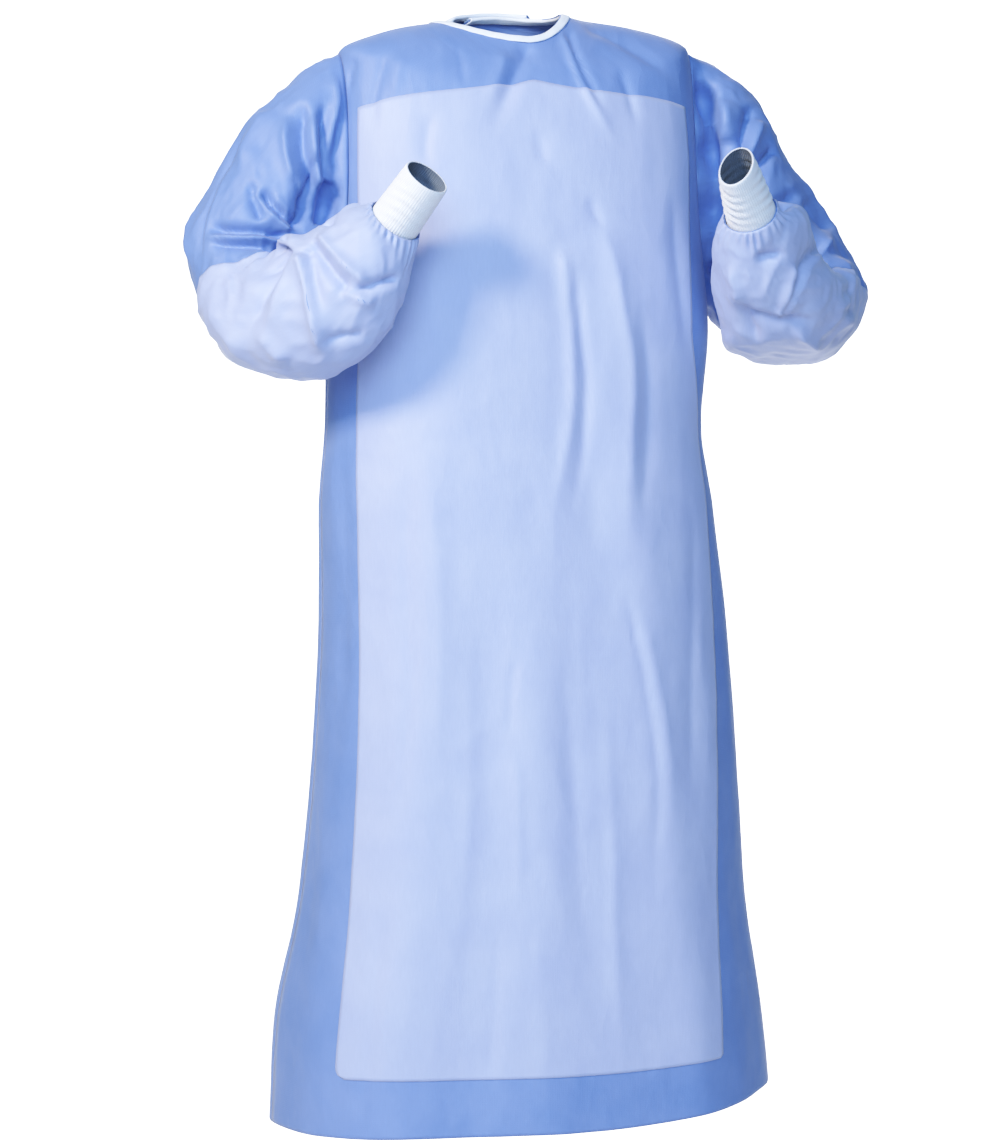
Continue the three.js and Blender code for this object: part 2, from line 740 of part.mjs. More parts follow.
function tubeLayer({ rings, normals }, side, from, low, high) {
  const layer = (outwards) => rings.slice(from).map((ring, index) => {
    const points = ring.map((point, step) => (
      point.clone().addScaledVector(normals[from + index][step], outwards)
    ));
    return side < 0 ? points : points.reverse();
  });
  return wall(layer(high), layer(low), true);
}

// Cuffs

function cuff({ base, end, baseRadius, endHalf }) {
  const start = new THREE.Vector3(...base);
  const finish = new THREE.Vector3(...end);
  const axis = finish.clone().sub(start).normalize();
  start.addScaledVector(axis, -CUFF_LAP);
  const side = new THREE.Vector3(0, 0, 1).cross(axis).normalize();
  const up = axis.clone().cross(side);
  const rings = (inwards) => range(CUFF_SECTIONS, (index) => {
    const share = index / (CUFF_SECTIONS - 1);
    const middle = start.clone().lerp(finish, share);
    const halfAcross = THREE.MathUtils.lerp(baseRadius, endHalf.across, share) - inwards;
    const halfUp = THREE.MathUtils.lerp(baseRadius, endHalf.up, share) - inwards;
    return range(CUFF_SIDES, (step) => {
      const turn = (2 * Math.PI * step) / CUFF_SIDES;
      return middle.clone()
        .addScaledVector(side, halfAcross * Math.cos(turn))
        .addScaledVector(up, -halfUp * Math.sin(turn));
    });
  });
  return wall(rings(0), rings(KNIT), true);
}

// Assembly

const gown = new THREE.Group();
gown.name = 'surgical_gown';

function add(name, geometry, finish) {
  const mesh = new THREE.Mesh(geometry, new THREE.MeshStandardMaterial({ ...finish, side: THREE.DoubleSide }));
  mesh.name = name;
  gown.add(mesh);
}

add('front_body', frontBody(), BLUE);
add('back_right', backPanel(FLAP_EDGE, flapLift), BLUE);
add('back_left', backPanel(UNDER_EDGE, () => 0), BLUE);
add('front_reinforcement', frontReinforcement(), LIGHT_BLUE);
for (const [name, rows, side, wristCuff] of [
  ['right', RIGHT_SLEEVE, -1, RIGHT_CUFF],
  ['left', LEFT_SLEEVE, 1, LEFT_CUFF],
]) {
  const tube = sleeveRings(rows, side, wristCuff);
  add(`sleeve_${name}`, tubeLayer(tube, side, 0, -CLOTH, 0), BLUE);
  add(
    `sleeve_reinforcement_${name}`,
    tubeLayer(tube, side, REINFORCED_FROM[name], SEAM_GAP, SEAM_GAP + FILM),
    LIGHT_BLUE,
  );
  add(`cuff_${name}`, cuff(wristCuff), WHITE_KNIT);
}
add('neck_binding', neckBinding(), WHITE_TAPE);
add('neck_tab', neckTab(), WHITE_TAPE);
add('waist_tie_flap', flapTie(), BLUE);
add('waist_tie_side', sideTie(), BLUE);

export default gown;
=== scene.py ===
"""Wraparound surgical gown, worn form: cloth, knit cuffs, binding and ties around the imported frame.

Metres, +Z up. The wearer faces -Y and the wearer's left is +X. Garment sizes are in millimetres.
"""
import logging
import math
from dataclasses import dataclass
from enum import Enum

import bpy
import numpy as np
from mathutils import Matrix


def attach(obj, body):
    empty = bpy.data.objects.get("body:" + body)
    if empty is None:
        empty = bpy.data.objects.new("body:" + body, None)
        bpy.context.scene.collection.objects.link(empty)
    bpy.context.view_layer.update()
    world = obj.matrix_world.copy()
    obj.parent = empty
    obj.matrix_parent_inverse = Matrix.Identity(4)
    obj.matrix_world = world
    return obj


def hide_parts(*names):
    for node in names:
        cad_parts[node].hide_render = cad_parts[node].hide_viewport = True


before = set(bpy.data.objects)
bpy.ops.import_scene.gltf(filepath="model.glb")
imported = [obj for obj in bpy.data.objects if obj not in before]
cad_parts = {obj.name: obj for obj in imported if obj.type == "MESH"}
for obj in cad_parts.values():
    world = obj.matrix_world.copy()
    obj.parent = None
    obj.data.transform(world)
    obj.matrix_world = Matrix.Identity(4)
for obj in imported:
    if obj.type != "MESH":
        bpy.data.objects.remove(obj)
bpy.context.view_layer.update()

LOG = logging.getLogger("gown")
MM = 0.001
ROOT = "root"
UP = np.array([0.0, 0.0, 1.0])
TURN = 2 * math.pi
QUARTER_TURN = math.pi / 2
TINY = 1e-9
CLOTH_UV = "cloth"

# How lattice_noise mixes a cell's place and seed into a value
HASH_AXES = (73856093, 19349663, 83492791)
HASH_SEED = 2654435
HASH_MIX = 1274126177
HASH_BITS = 0xFFFF
HASH_HALF = 32767.5

# Millimetres that a pixel of the photograph spans at the gown's front
PHOTO_UNIT = 1.09


# Tables and curves


def table(columns: str, rows: list[tuple[float, ...]]) -> dict[str, np.ndarray]:
    """Turn a short table into named columns.

    Args:
        columns: The column names, apart by spaces.
        rows: One row for each section or fold.

    Returns:
        Each column's values under its name.
    """
    values = np.array(rows, dtype=float)
    return {name: values[:, index] for index, name in enumerate(columns.split())}


def smoothstep(value: np.ndarray, start: float = 0.0, end: float = 1.0) -> np.ndarray:
    """Rise smoothly from 0 at start to 1 at end."""
    share = np.clip((value - start) / (end - start), 0.0, 1.0)
    return share * share * (3.0 - 2.0 * share)


def wave(turn: np.ndarray, height: float, count: float, start: float) -> np.ndarray:
    """Return a sine wave of some height, with a count of waves in a turn and the angle it starts at."""
    return height * np.sin(count * turn + start)


def curve_value(keys: np.ndarray, values: np.ndarray, place: np.ndarray) -> np.ndarray:
    """Read a column between its rows on a smooth curve that doesn't overshoot.

    Args:
        keys: The rows' places, rising.
        values: The column's values there.
        place: Where to read it.

    Returns:
        The values at those places.
    """
    steps = np.diff(values) / np.diff(keys)
    slopes = np.empty_like(values)
    slopes[0], slopes[-1] = steps[0], steps[-1]
    product = steps[:-1] * steps[1:]
    total = steps[:-1] + steps[1:]
    slopes[1:-1] = np.where(product > 0, 2.0 * product / np.where(total == 0, 1.0, total), 0.0)
    index = np.clip(np.searchsorted(keys, place) - 1, 0, len(keys) - 2)
    span = keys[index + 1] - keys[index]
    t = np.clip((place - keys[index]) / span, 0.0, 1.0)
    rise = t * t * (3.0 - 2.0 * t)
    bend = slopes[index] * span * t * (1 - t) ** 2 - slopes[index + 1] * span * t * t * (1 - t)
    return values[index] * (1.0 - rise) + values[index + 1] * rise + bend


def lattice_noise(points: np.ndarray, seed: int) -> np.ndarray:
    """Smooth noise from -1 to 1 over places in space, the same for every run.

    Args:
        points: Places, in noise cells.
        seed: Which noise.

    Returns:
        One value for each place.
    """
    cell = np.floor(points).astype(np.int64)
    part = points - cell
    weight = part * part * (3.0 - 2.0 * part)
    total = np.zeros(points.shape[:-1])
    for corner in range(8):
        bits = np.array([corner & 1, (corner >> 1) & 1, (corner >> 2) & 1])
        at = cell + bits
        mixed = seed * HASH_SEED
        for axis, step in enumerate(HASH_AXES):
            mixed = mixed ^ (at[..., axis] * step)
        mixed = (mixed ^ (mixed >> 13)) * HASH_MIX
        value = ((mixed ^ (mixed >> 16)) & HASH_BITS) / HASH_HALF - 1.0
        share = np.where(bits == 1, weight, 1.0 - weight).prod(axis=-1)
        total += value * share
    return total


# Camera and the picture plane


@dataclass(frozen=True)
class Viewpoint:
    """Where the photograph was taken from. Its places are pixels of the 1008 by 1145 frame."""

    width: float = 1008.0
    height: float = 1145.0
    azimuth: float = -14.0
    distance: float = 3300.0
    mm_per_pixel: float = 1.13
    middle: tuple[float, float, float] = (-8.73, 2.18, -596.0)
    sensor: float = 36.0
    clip_end: float = 30.0

    def directions(self) -> tuple[np.ndarray, np.ndarray]:
        """Return the way to the right in the picture, and the way the camera looks."""
        turn = math.radians(self.azimuth)
        right = np.array([math.cos(turn), math.sin(turn), 0.0])
        ahead = np.array([-math.sin(turn), math.cos(turn), 0.0])
        return right, ahead

    def pixels(self, points: np.ndarray) -> tuple[np.ndarray, np.ndarray]:
        """Find where points of the garment appear.

        Args:
            points: Places in millimetres.

        Returns:
            Their pixels across and down.
        """
        right, ahead = self.directions()
        from_middle = points - np.array(self.middle)
        scale = (self.distance + from_middle @ ahead) / self.distance * self.mm_per_pixel
        across = self.width / 2 + (from_middle @ right) / scale
        down = self.height / 2 - from_middle[..., 2] / scale
        return across, down

    def place_camera(self) -> None:
        """Add the camera and make it the scene's."""
        _, ahead = self.directions()
        data = bpy.data.cameras.new("studio_camera")
        data.sensor_width = self.sensor
        data.lens = self.distance / self.mm_per_pixel * self.sensor / self.height
        data.clip_end = self.clip_end
        camera = bpy.data.objects.new("studio_camera", data)
        camera.location = (np.array(self.middle) - ahead * self.distance) * MM
        camera.rotation_euler = (QUARTER_TURN, 0.0, math.radians(self.azimuth))
        bpy.context.scene.collection.objects.link(camera)
        bpy.context.scene.camera = camera


VIEW = Viewpoint()


# Creases


class Seen(Enum):
    """The plane that a crease is drawn on."""

    PHOTO = "photo"
    BACK = "back"
    LEFT = "left"
    RIGHT = "right"


def drawn_on(plane: Seen, points: np.ndarray) -> tuple[np.ndarray, np.ndarray, float]:
    """Project points onto a drawing plane.

    Args:
        plane: The plane.
        points: Places in millimetres.

    Returns:
        Places across and down the plane, and how many millimetres one of its units is.
    """
    if plane is Seen.PHOTO:
        across, down = VIEW.pixels(points)
        return across, down, PHOTO_UNIT
    across = {Seen.BACK: -points[..., 0], Seen.LEFT: points[..., 1], Seen.RIGHT: -points[..., 1]}[plane]
    return across, -points[..., 2], 1.0


def plane_facing(plane: Seen) -> np.ndarray:
    """Return the way towards whoever looks at a drawing plane."""
    if plane is Seen.PHOTO:
        return -VIEW.directions()[1]
    ways = {Seen.BACK: (0, 1, 0), Seen.LEFT: (1, 0, 0), Seen.RIGHT: (-1, 0, 0)}
    return np.array(ways[plane])


@dataclass(frozen=True)
class Crease:
    """One listed fold: a soft ridge, or a trough where its height is minus.

    path goes along the fold, across and down its drawing plane. left and right are the widths in millimetres
    on either side when looking along the path, and crisp is 0 for a round fold and 1 for a sharp one. rise
    and fall are the shares of the path over which it grows and fades.
    """

    widths_reached = 3.0
    sharp_fall = 1.6
    sharp_lean = 0.6
    facing_span = (0.02, 0.3)

    path: tuple[tuple[float, float], ...]
    height: float
    left: float
    right: float
    crisp: float
    rise: float
    fall: float
    plane: Seen

    def lift(self, points: np.ndarray, normals: np.ndarray) -> np.ndarray:
        """Work out how far the fold lifts the cloth.

        Args:
            points: Places of the cloth in millimetres.
            normals: The cloth's outward directions there.

        Returns:
            The lift in millimetres.
        """
        across, down, unit = drawn_on(self.plane, points)
        knots = smooth_path(np.array(self.path, dtype=float))
        reach = self.widths_reached * max(self.left, self.right) / unit
        low, high = knots.min(axis=0) - reach, knots.max(axis=0) + reach
        near = (across > low[0]) & (across < high[0]) & (down > low[1]) & (down < high[1])
        result = np.zeros(across.shape)
        if not near.any():
            return result
        place = np.stack([across[near], down[near]], axis=-1)
        starts, runs = knots[:-1], np.diff(knots, axis=0)
        lengths = np.hypot(runs[:, 0], runs[:, 1])
        before = np.concatenate([[0.0], np.cumsum(lengths)])
        offset = place[:, None, :] - starts[None]
        share = np.clip((offset * runs).sum(axis=-1) / (lengths**2), 0.0, 1.0)
        gap = offset - share[..., None] * runs
        distances = np.hypot(gap[..., 0], gap[..., 1])
        nearest = distances.argmin(axis=1)
        rows = np.arange(len(place))
        distance = distances[rows, nearest] * unit
        turned = runs[nearest, 0] * gap[rows, nearest, 1] - runs[nearest, 1] * gap[rows, nearest, 0]
        along = (before[nearest] + share[rows, nearest] * lengths[nearest]) / before[-1]
        width = np.where(turned > 0, self.right, self.left)
        ratio = distance / width
        soft = np.exp(-(ratio**2))
        sharp = np.exp(-self.sharp_fall * ratio) * (1.0 + self.sharp_lean * ratio)
        shape = soft * (1.0 - self.crisp) + sharp * self.crisp
        ends = smoothstep(along, 0.0, self.rise) * smoothstep(1.0 - along, 0.0, self.fall)
        facing = smoothstep(normals[near] @ plane_facing(self.plane), *self.facing_span)
        result[near] = self.height * shape * ends * facing
        return result


def smooth_path(knots: np.ndarray, steps: int = 6) -> np.ndarray:
    """Round a path, or a row of rings, off.

    Args:
        knots: The path's own points, or its rings.
        steps: New ones for each stretch.

    Returns:
        Points or rings along a smooth curve through them.
    """
    ends = np.concatenate([[2 * knots[0] - knots[1]], knots, [2 * knots[-1] - knots[-2]]])
    shares = np.linspace(0.0, 1.0, steps, endpoint=False).reshape(-1, *([1] * (knots.ndim - 1)))
    pieces = []
    for a, b, c, d in zip(ends[:-3], ends[1:-2], ends[2:-1], ends[3:]):
        pieces.append(
            0.5 * (2 * b + (c - a) * shares + (2 * a - 5 * b + 4 * c - d) * shares**2
                   + (3 * b - a - 3 * c + d) * shares**3)
        )
    return np.concatenate([*pieces, knots[-1:]])


@dataclass(frozen=True)
class Crumple:
    """Uneven dents of worn nonwoven: broad soft ones, and narrow ones that meet in crisp ridges."""

    warp_scale = 0.6
    warp_offset = 11.3
    warp_seed = 5
    warp_size = 0.8
    ridge_level = 0.35
    middle_scale = 1.7
    fine_scale = 3.6
    fine_share = 0.4

    broad: float
    ridges: float
    scale: float
    stretch: float = 1.9

    def lift(self, points: np.ndarray, seed: int) -> np.ndarray:
        """Work out how far the dents lift the cloth.

        Args:
            points: Places in millimetres.
            seed: Which pattern.

        Returns:
            The lift in millimetres.
        """
        cells = points / np.array([self.scale, self.scale, self.scale * self.stretch])
        warp = lattice_noise(cells * self.warp_scale + self.warp_offset, seed + self.warp_seed)
        warp = warp[..., None] * self.warp_size
        broad = lattice_noise(cells + warp, seed)
        middle, fine = (
            self.ridge_level - np.abs(lattice_noise(cells * scale + warp, seed + number))
            for number, scale in enumerate((self.middle_scale, self.fine_scale), start=1)
        )
        return self.broad * broad + self.ridges * (middle + self.fine_share * fine)


@dataclass(frozen=True)
class Shove:
    """A part of a sleeve moved across, down and away from the camera, in pixels of the photo's frame.

    rings are the first and last main ring that move. The part that goes away from the camera moves only the
    sleeve's near side.
    """

    near_span = (-0.1, 0.7)

    place: tuple[float, float]
    push: tuple[float, float, float]
    reach: float
    rings: tuple[float, float] = (-1.0, 99.0)

    def shift(self, points: np.ndarray, places: np.ndarray) -> np.ndarray:
        """Work out how far points move.

        Args:
            points: Rings of points in millimetres.
            places: Each ring's place along the sleeve, in main rings.

        Returns:
            The moves in millimetres.
        """
        across, down = VIEW.pixels(points)
        away = ((across - self.place[0]) ** 2 + (down - self.place[1]) ** 2) / self.reach**2
        first, last = self.rings
        share = smoothstep(places, first - 1.0, first + 1.0) * smoothstep(-places, -last - 1.0, -last + 1.0)
        weight = np.exp(-away) * share[:, None] * VIEW.mm_per_pixel
        right, ahead = VIEW.directions()
        flat_push = right * self.push[0] - UP * self.push[1]
        near = (points.mean(axis=1, keepdims=True) - points) @ ahead
        faces = smoothstep(near / np.maximum(near.max(axis=1, keepdims=True), 1.0), *self.near_span)
        return weight[..., None] * (flat_push + faces[..., None] * ahead * self.push[2])


# Meshes


@dataclass
class ClothGrid:
    """A sheet of cloth as rows of points with outward directions and flat places, all in millimetres."""

    points: np.ndarray
    normals: np.ndarray
    flat: np.ndarray
    closed: bool = False

    def moved(self, lift: np.ndarray | float) -> "ClothGrid":
        """Return the sheet moved outwards."""
        lifted = self.points + self.normals * (np.asarray(lift)[..., None] if np.ndim(lift) else lift)
        return ClothGrid(lifted, self.normals, self.flat, self.closed)

    def part(self, rows: slice, columns: slice = slice(None)) -> "ClothGrid":
        """Return some of its rows and columns."""
        whole = self.closed and columns == slice(None)
        fields = (values[rows, columns] for values in (self.points, self.normals, self.flat))
        return ClothGrid(*fields, whole)

    def between(self, rows: np.ndarray, columns: np.ndarray, part: np.ndarray,
                step: tuple[int, int]) -> "ClothGrid":
        """Read the sheet between its own points.

        Args:
            rows: The row of each place's first point.
            columns: Its column.
            part: How far the place is on the way to the next point, with a last axis of one.
            step: How many rows and columns on the next point is.

        Returns:
            A sheet of the same kind with a point for each place.
        """
        fields = (
            values[rows, columns] * (1 - part) + values[rows + step[0], columns + step[1]] * part
            for values in (self.points, self.normals, self.flat)
        )
        return ClothGrid(*fields, self.closed)

    def mesh(self, name: str, thickness: float, painted_shade_inside: bool = False) -> bpy.types.Object:
        """Make a Blender mesh with a wall on its inner side.

        Args:
            name: The piece's name.
            thickness: The wall in millimetres.
            painted_shade_inside: Whether the inner face takes the second material, which carries painted
                shade.

        Returns:
            The new object at the origin.
        """
        rows, columns = self.points.shape[:2]
        numbers = np.arange(rows * columns).reshape(rows, columns)
        right = np.roll(numbers, -1, axis=1) if self.closed else numbers[:, 1:]
        left = numbers if self.closed else numbers[:, :-1]
        faces = np.stack([left[:-1], left[1:], right[1:], right[:-1]], axis=-1).reshape(-1, 4)
        flat_points = self.points.reshape(-1, 3)
        corners = flat_points[faces]
        way = np.cross(corners[:, 2] - corners[:, 0], corners[:, 3] - corners[:, 1])
        if (way * self.normals.reshape(-1, 3)[faces[:, 0]]).sum() < 0:
            faces = faces[:, ::-1]
        data = bpy.data.meshes.new(name)
        data.from_pydata(flat_points * MM, [], faces)
        data.polygons.foreach_set("use_smooth", np.ones(len(data.polygons), dtype=bool))
        layer = data.uv_layers.new(name=CLOTH_UV)
        corner_vertices = np.empty(len(data.loops), dtype=np.int32)
        data.loops.foreach_get("vertex_index", corner_vertices)
        places = self.flat.reshape(-1, 2)[corner_vertices]
        if self.closed:
            places = self.unwrapped(places, faces)
        layer.data.foreach_set("uv", (places * MM).astype(np.float32).ravel())
        obj = bpy.data.objects.new(name, data)
        bpy.context.scene.collection.objects.link(obj)
        wall = obj.modifiers.new("wall", "SOLIDIFY")
        wall.thickness = thickness * MM
        wall.offset = -1.0
        # The inner face can take a second material, used for painted shade inside the cuffs
        wall.material_offset = 1 if painted_shade_inside else 0
        if painted_shade_inside:
            data.materials.append(None)
            data.materials.append(None)
        apply_modifiers(obj)
        return obj

    def unwrapped(self, places: np.ndarray, faces: np.ndarray) -> np.ndarray:
        """Carry the flat places on past the joint of a tube, so that no face runs back across it."""
        length = self.flat[0, -1, 0] + self.flat[0, 1, 0] - 2 * self.flat[0, 0, 0]
        around = places[:, 0].reshape(-1, 4)
        jump = around.max(axis=1, keepdims=True) - around > length / 2
        return np.stack([np.where(jump, around + length, around).ravel(), places[:, 1]], axis=-1)


def apply_modifiers(obj: bpy.types.Object) -> None:
    """Make an object's modifiers part of its mesh."""
    bpy.ops.object.select_all(action="DESELECT")
    bpy.context.view_layer.objects.active = obj
    obj.select_set(True)
    for modifier in list(obj.modifiers):
        bpy.ops.object.modifier_apply(modifier=modifier.name)


def grid_normals(points: np.ndarray, closed: bool, facing: float) -> np.ndarray:
    """Work out a grid's outward directions from its own points.

    Args:
        points: Rows of points.
        closed: Whether each row is a ring.
        facing: 1 or -1, which side is outside.

    Returns:
        Unit directions.
    """
    down = np.gradient(points, axis=0)
    if closed:
        round_way = np.roll(points, -1, axis=1) - np.roll(points, 1, axis=1)
    else:
        round_way = np.gradient(points, axis=1)
    way = np.cross(down, round_way) * facing
    return way / np.maximum(np.linalg.norm(way, axis=-1, keepdims=True), TINY)


# Body form


class BodyForm:
    """The gown's body: a worn tube from the neck edge to the hem, read by place round it and way down it.

    across is 0 at the front middle, 1 at the left side, 2 at the back middle, and minus to the right.
    """

    sections = table(
        "down right front left back z_right z_front z_left z_back square",
        [
            (0, 86, 68, 53, 62, 21, -3, 36, 40, 2.0),
            (16, 106, 77, 74, 70, 17, -16, 31, 34, 2.05),
            (45, 152, 92, 128, 80, 6, -38, 24, 12, 2.15),
            (80, 200, 104, 203, 90, -19, -68, 0, -24, 2.3),
            (122, 205, 113, 209, 99, -70, -108, -56, -72, 2.4),
            (168, 208, 121, 212, 106, -138, -156, -130, -138, 2.5),
            (238, 210, 126, 217, 108, -228, -230, -224, -226, 2.5),
            (330, 211, 130, 224, 106, -322, -322, -320, -320, 2.5),
            (438, 213, 130, 216, 102, -430, -430, -428, -430, 2.45),
            (530, 221, 136, 230, 110, -520, -520, -519, -522, 2.4),
            (660, 222, 147, 246, 120, -650, -650, -648, -652, 2.4),
            (810, 229, 159, 257, 134, -800, -800, -796, -800, 2.4),
            (960, 243, 171, 265, 148, -950, -950, -942, -948, 2.4),
            (1112, 271, 182, 285, 160, -1102, -1100, -1088, -1098, 2.4),
            (1208, 276, 188, 293, 164, -1203, -1196, -1170, -1190, 2.4),
        ],
    )
    folds = table(
        "top_across bottom_across top bottom width height",
        [
            (0.26, 0.46, 90, 1208, 34, 5),
            (0.12, 0.22, 150, 700, 30, -4),
            (-0.42, -0.52, 330, 1208, 40, 5),
            (-0.04, 0.0, 520, 1208, 30, 4),
            (-0.22, -0.25, 560, 1208, 36, -5),
            (0.74, 0.72, 420, 1208, 34, -5),
            (-0.93, -0.86, 420, 1208, 38, -6),
            (1.22, 1.18, 400, 1208, 42, -9),
            (1.45, 1.42, 430, 1208, 40, 8),
            (-1.3, -1.24, 400, 1208, 42, -9),
            (-1.55, -1.5, 430, 1208, 44, 8),
            (-1.78, -1.76, 400, 1208, 40, -8),
            (1.82, 1.9, 400, 1208, 46, 7),
        ],
    )
    length = 1208.0
    arc_steps = 28
    probe_across = 0.02
    probe_down = 3.0
    fold_keys = 60
    fold_fade = 0.35

    def section(self, down: np.ndarray) -> dict[str, np.ndarray]:
        """Read every column of the sections at ways down the cloth."""
        keys = self.sections["down"]
        return {
            name: curve_value(keys, values, down) for name, values in self.sections.items() if name != "down"
        }

    @staticmethod
    def ring_point(section: dict[str, np.ndarray], angle: np.ndarray) -> np.ndarray:
        """Place points on section rings, by the angle from the front."""
        side, ahead = np.sin(angle), np.cos(angle)
        power = 2.0 / section["square"]
        x_share, y_share = np.abs(side) ** power, np.abs(ahead) ** power
        half = np.where(side < 0, -section["right"], section["left"])
        depth = np.where(ahead > 0, -section["front"], section["back"])
        z_side = np.where(side < 0, section["z_right"], section["z_left"])
        z_middle = np.where(ahead > 0, section["z_front"], section["z_back"])
        weight = x_share * x_share
        return np.stack([half * x_share, depth * y_share, z_side * weight + z_middle * (1 - weight)], axis=-1)

    def plain(self, across: np.ndarray, down: np.ndarray) -> tuple[np.ndarray, np.ndarray]:
        """Find points of the form without its folds.

        Args:
            across: Places round it.
            down: Ways down the cloth.

        Returns:
            The points, and the length of the quarter that each is in.
        """
        turned = np.where(np.abs(across) > 2, across - 4 * np.sign(across), across)
        size, left = np.abs(turned), turned >= 0
        front = size <= 1
        share = np.where(front, size, 2 - size)
        section = self.section(down)
        wide = {name: value[..., None] for name, value in section.items()}
        steps = np.linspace(0.0, 1.0, self.arc_steps + 1) * math.pi / 2
        angles = np.where(front[..., None], steps, math.pi - steps)
        angles = np.where(left[..., None], angles, -angles)
        ring = self.ring_point(wide, angles)
        runs = np.linalg.norm(np.diff(ring, axis=-2), axis=-1)
        lengths = np.concatenate([np.zeros(runs.shape[:-1] + (1,)), np.cumsum(runs, axis=-1)], axis=-1)
        whole = lengths[..., -1]
        wanted = share * whole
        index = np.clip((lengths < wanted[..., None]).sum(axis=-1) - 1, 0, self.arc_steps - 1)
        start = np.take_along_axis(lengths, index[..., None], axis=-1)[..., 0]
        run = np.take_along_axis(runs, index[..., None], axis=-1)[..., 0]
        turn = (index + (wanted - start) / run) / self.arc_steps * math.pi / 2
        angle = np.where(front, turn, math.pi - turn)
        return self.ring_point(section, np.where(left, angle, -angle)), whole

    def quarter(self, across: float, down: np.ndarray) -> np.ndarray:
        """Return the lengths of one quarter of the form at ways down the cloth."""
        down = np.asarray(down, dtype=float)
        return self.plain(np.full(down.shape, float(across)), down)[1]

    def fold_lift(self, across: np.ndarray, down: np.ndarray) -> np.ndarray:
        """Return how far the large folds lift the cloth."""
        turned = np.where(np.abs(across) > 2, across - 4 * np.sign(across), across)
        lift = np.zeros(np.broadcast(across, down).shape)
        for row in range(len(self.folds["top"])):
            fold = {name: values[row] for name, values in self.folds.items()}
            reach = (down - fold["top"]) / (fold["bottom"] - fold["top"])
            place = fold["top_across"] + (fold["bottom_across"] - fold["top_across"]) * np.clip(reach, 0, 1)
            keys = np.linspace(0.0, self.length, self.fold_keys)
            middle = (fold["top_across"] + fold["bottom_across"]) / 2
            scale = np.interp(down, keys, self.quarter(middle, keys))
            distance = (turned - place) * scale / fold["width"]
            grown = smoothstep(reach, 0.0, self.fold_fade)
            ends = smoothstep(1 - reach, 0.0, self.fold_fade) if fold["bottom"] < self.length else 1.0
            lift += fold["height"] * grown * ends * np.exp(-(distance**2))
        return lift

    def cloth(self, across: np.ndarray, down: np.ndarray) -> tuple[np.ndarray, np.ndarray]:
        """Find points of the folded cloth.

        Args:
            across: Places round the form.
            down: Ways down it.

        Returns:
            The points and the outward directions there.
        """
        low = np.maximum(down - self.probe_down, 0.0)
        high = np.minimum(down + self.probe_down, self.length)
        probe = self.probe_across
        along = self.plain(across + probe, down)[0] - self.plain(across - probe, down)[0]
        away = self.plain(across, high)[0] - self.plain(across, low)[0]
        normal = np.cross(away, along)
        normal /= np.linalg.norm(normal, axis=-1, keepdims=True)
        lift = self.fold_lift(across, down)
        return self.plain(across, down)[0] + normal * lift[..., None], normal


FORM = BodyForm()


@dataclass(frozen=True)
class Armhole:
    """The armhole's cut: its ends on the side line, and its reach round the front and back."""

    top: float = 80.0
    bottom: float = 304.0
    front: float = 0.2
    back: float = 0.3

    @property
    def middle(self) -> float:
        """Its middle, down the cloth."""
        return (self.top + self.bottom) / 2

    def reach(self, down: np.ndarray, share: float) -> np.ndarray:
        """Return how far the cut reaches from the side line at ways down the cloth."""
        rise = np.clip((self.middle - down) / (self.middle - self.top), -1.0, 1.0)
        return share * np.sqrt(1.0 - rise * rise)


ARMHOLE = Armhole()


# Finishes


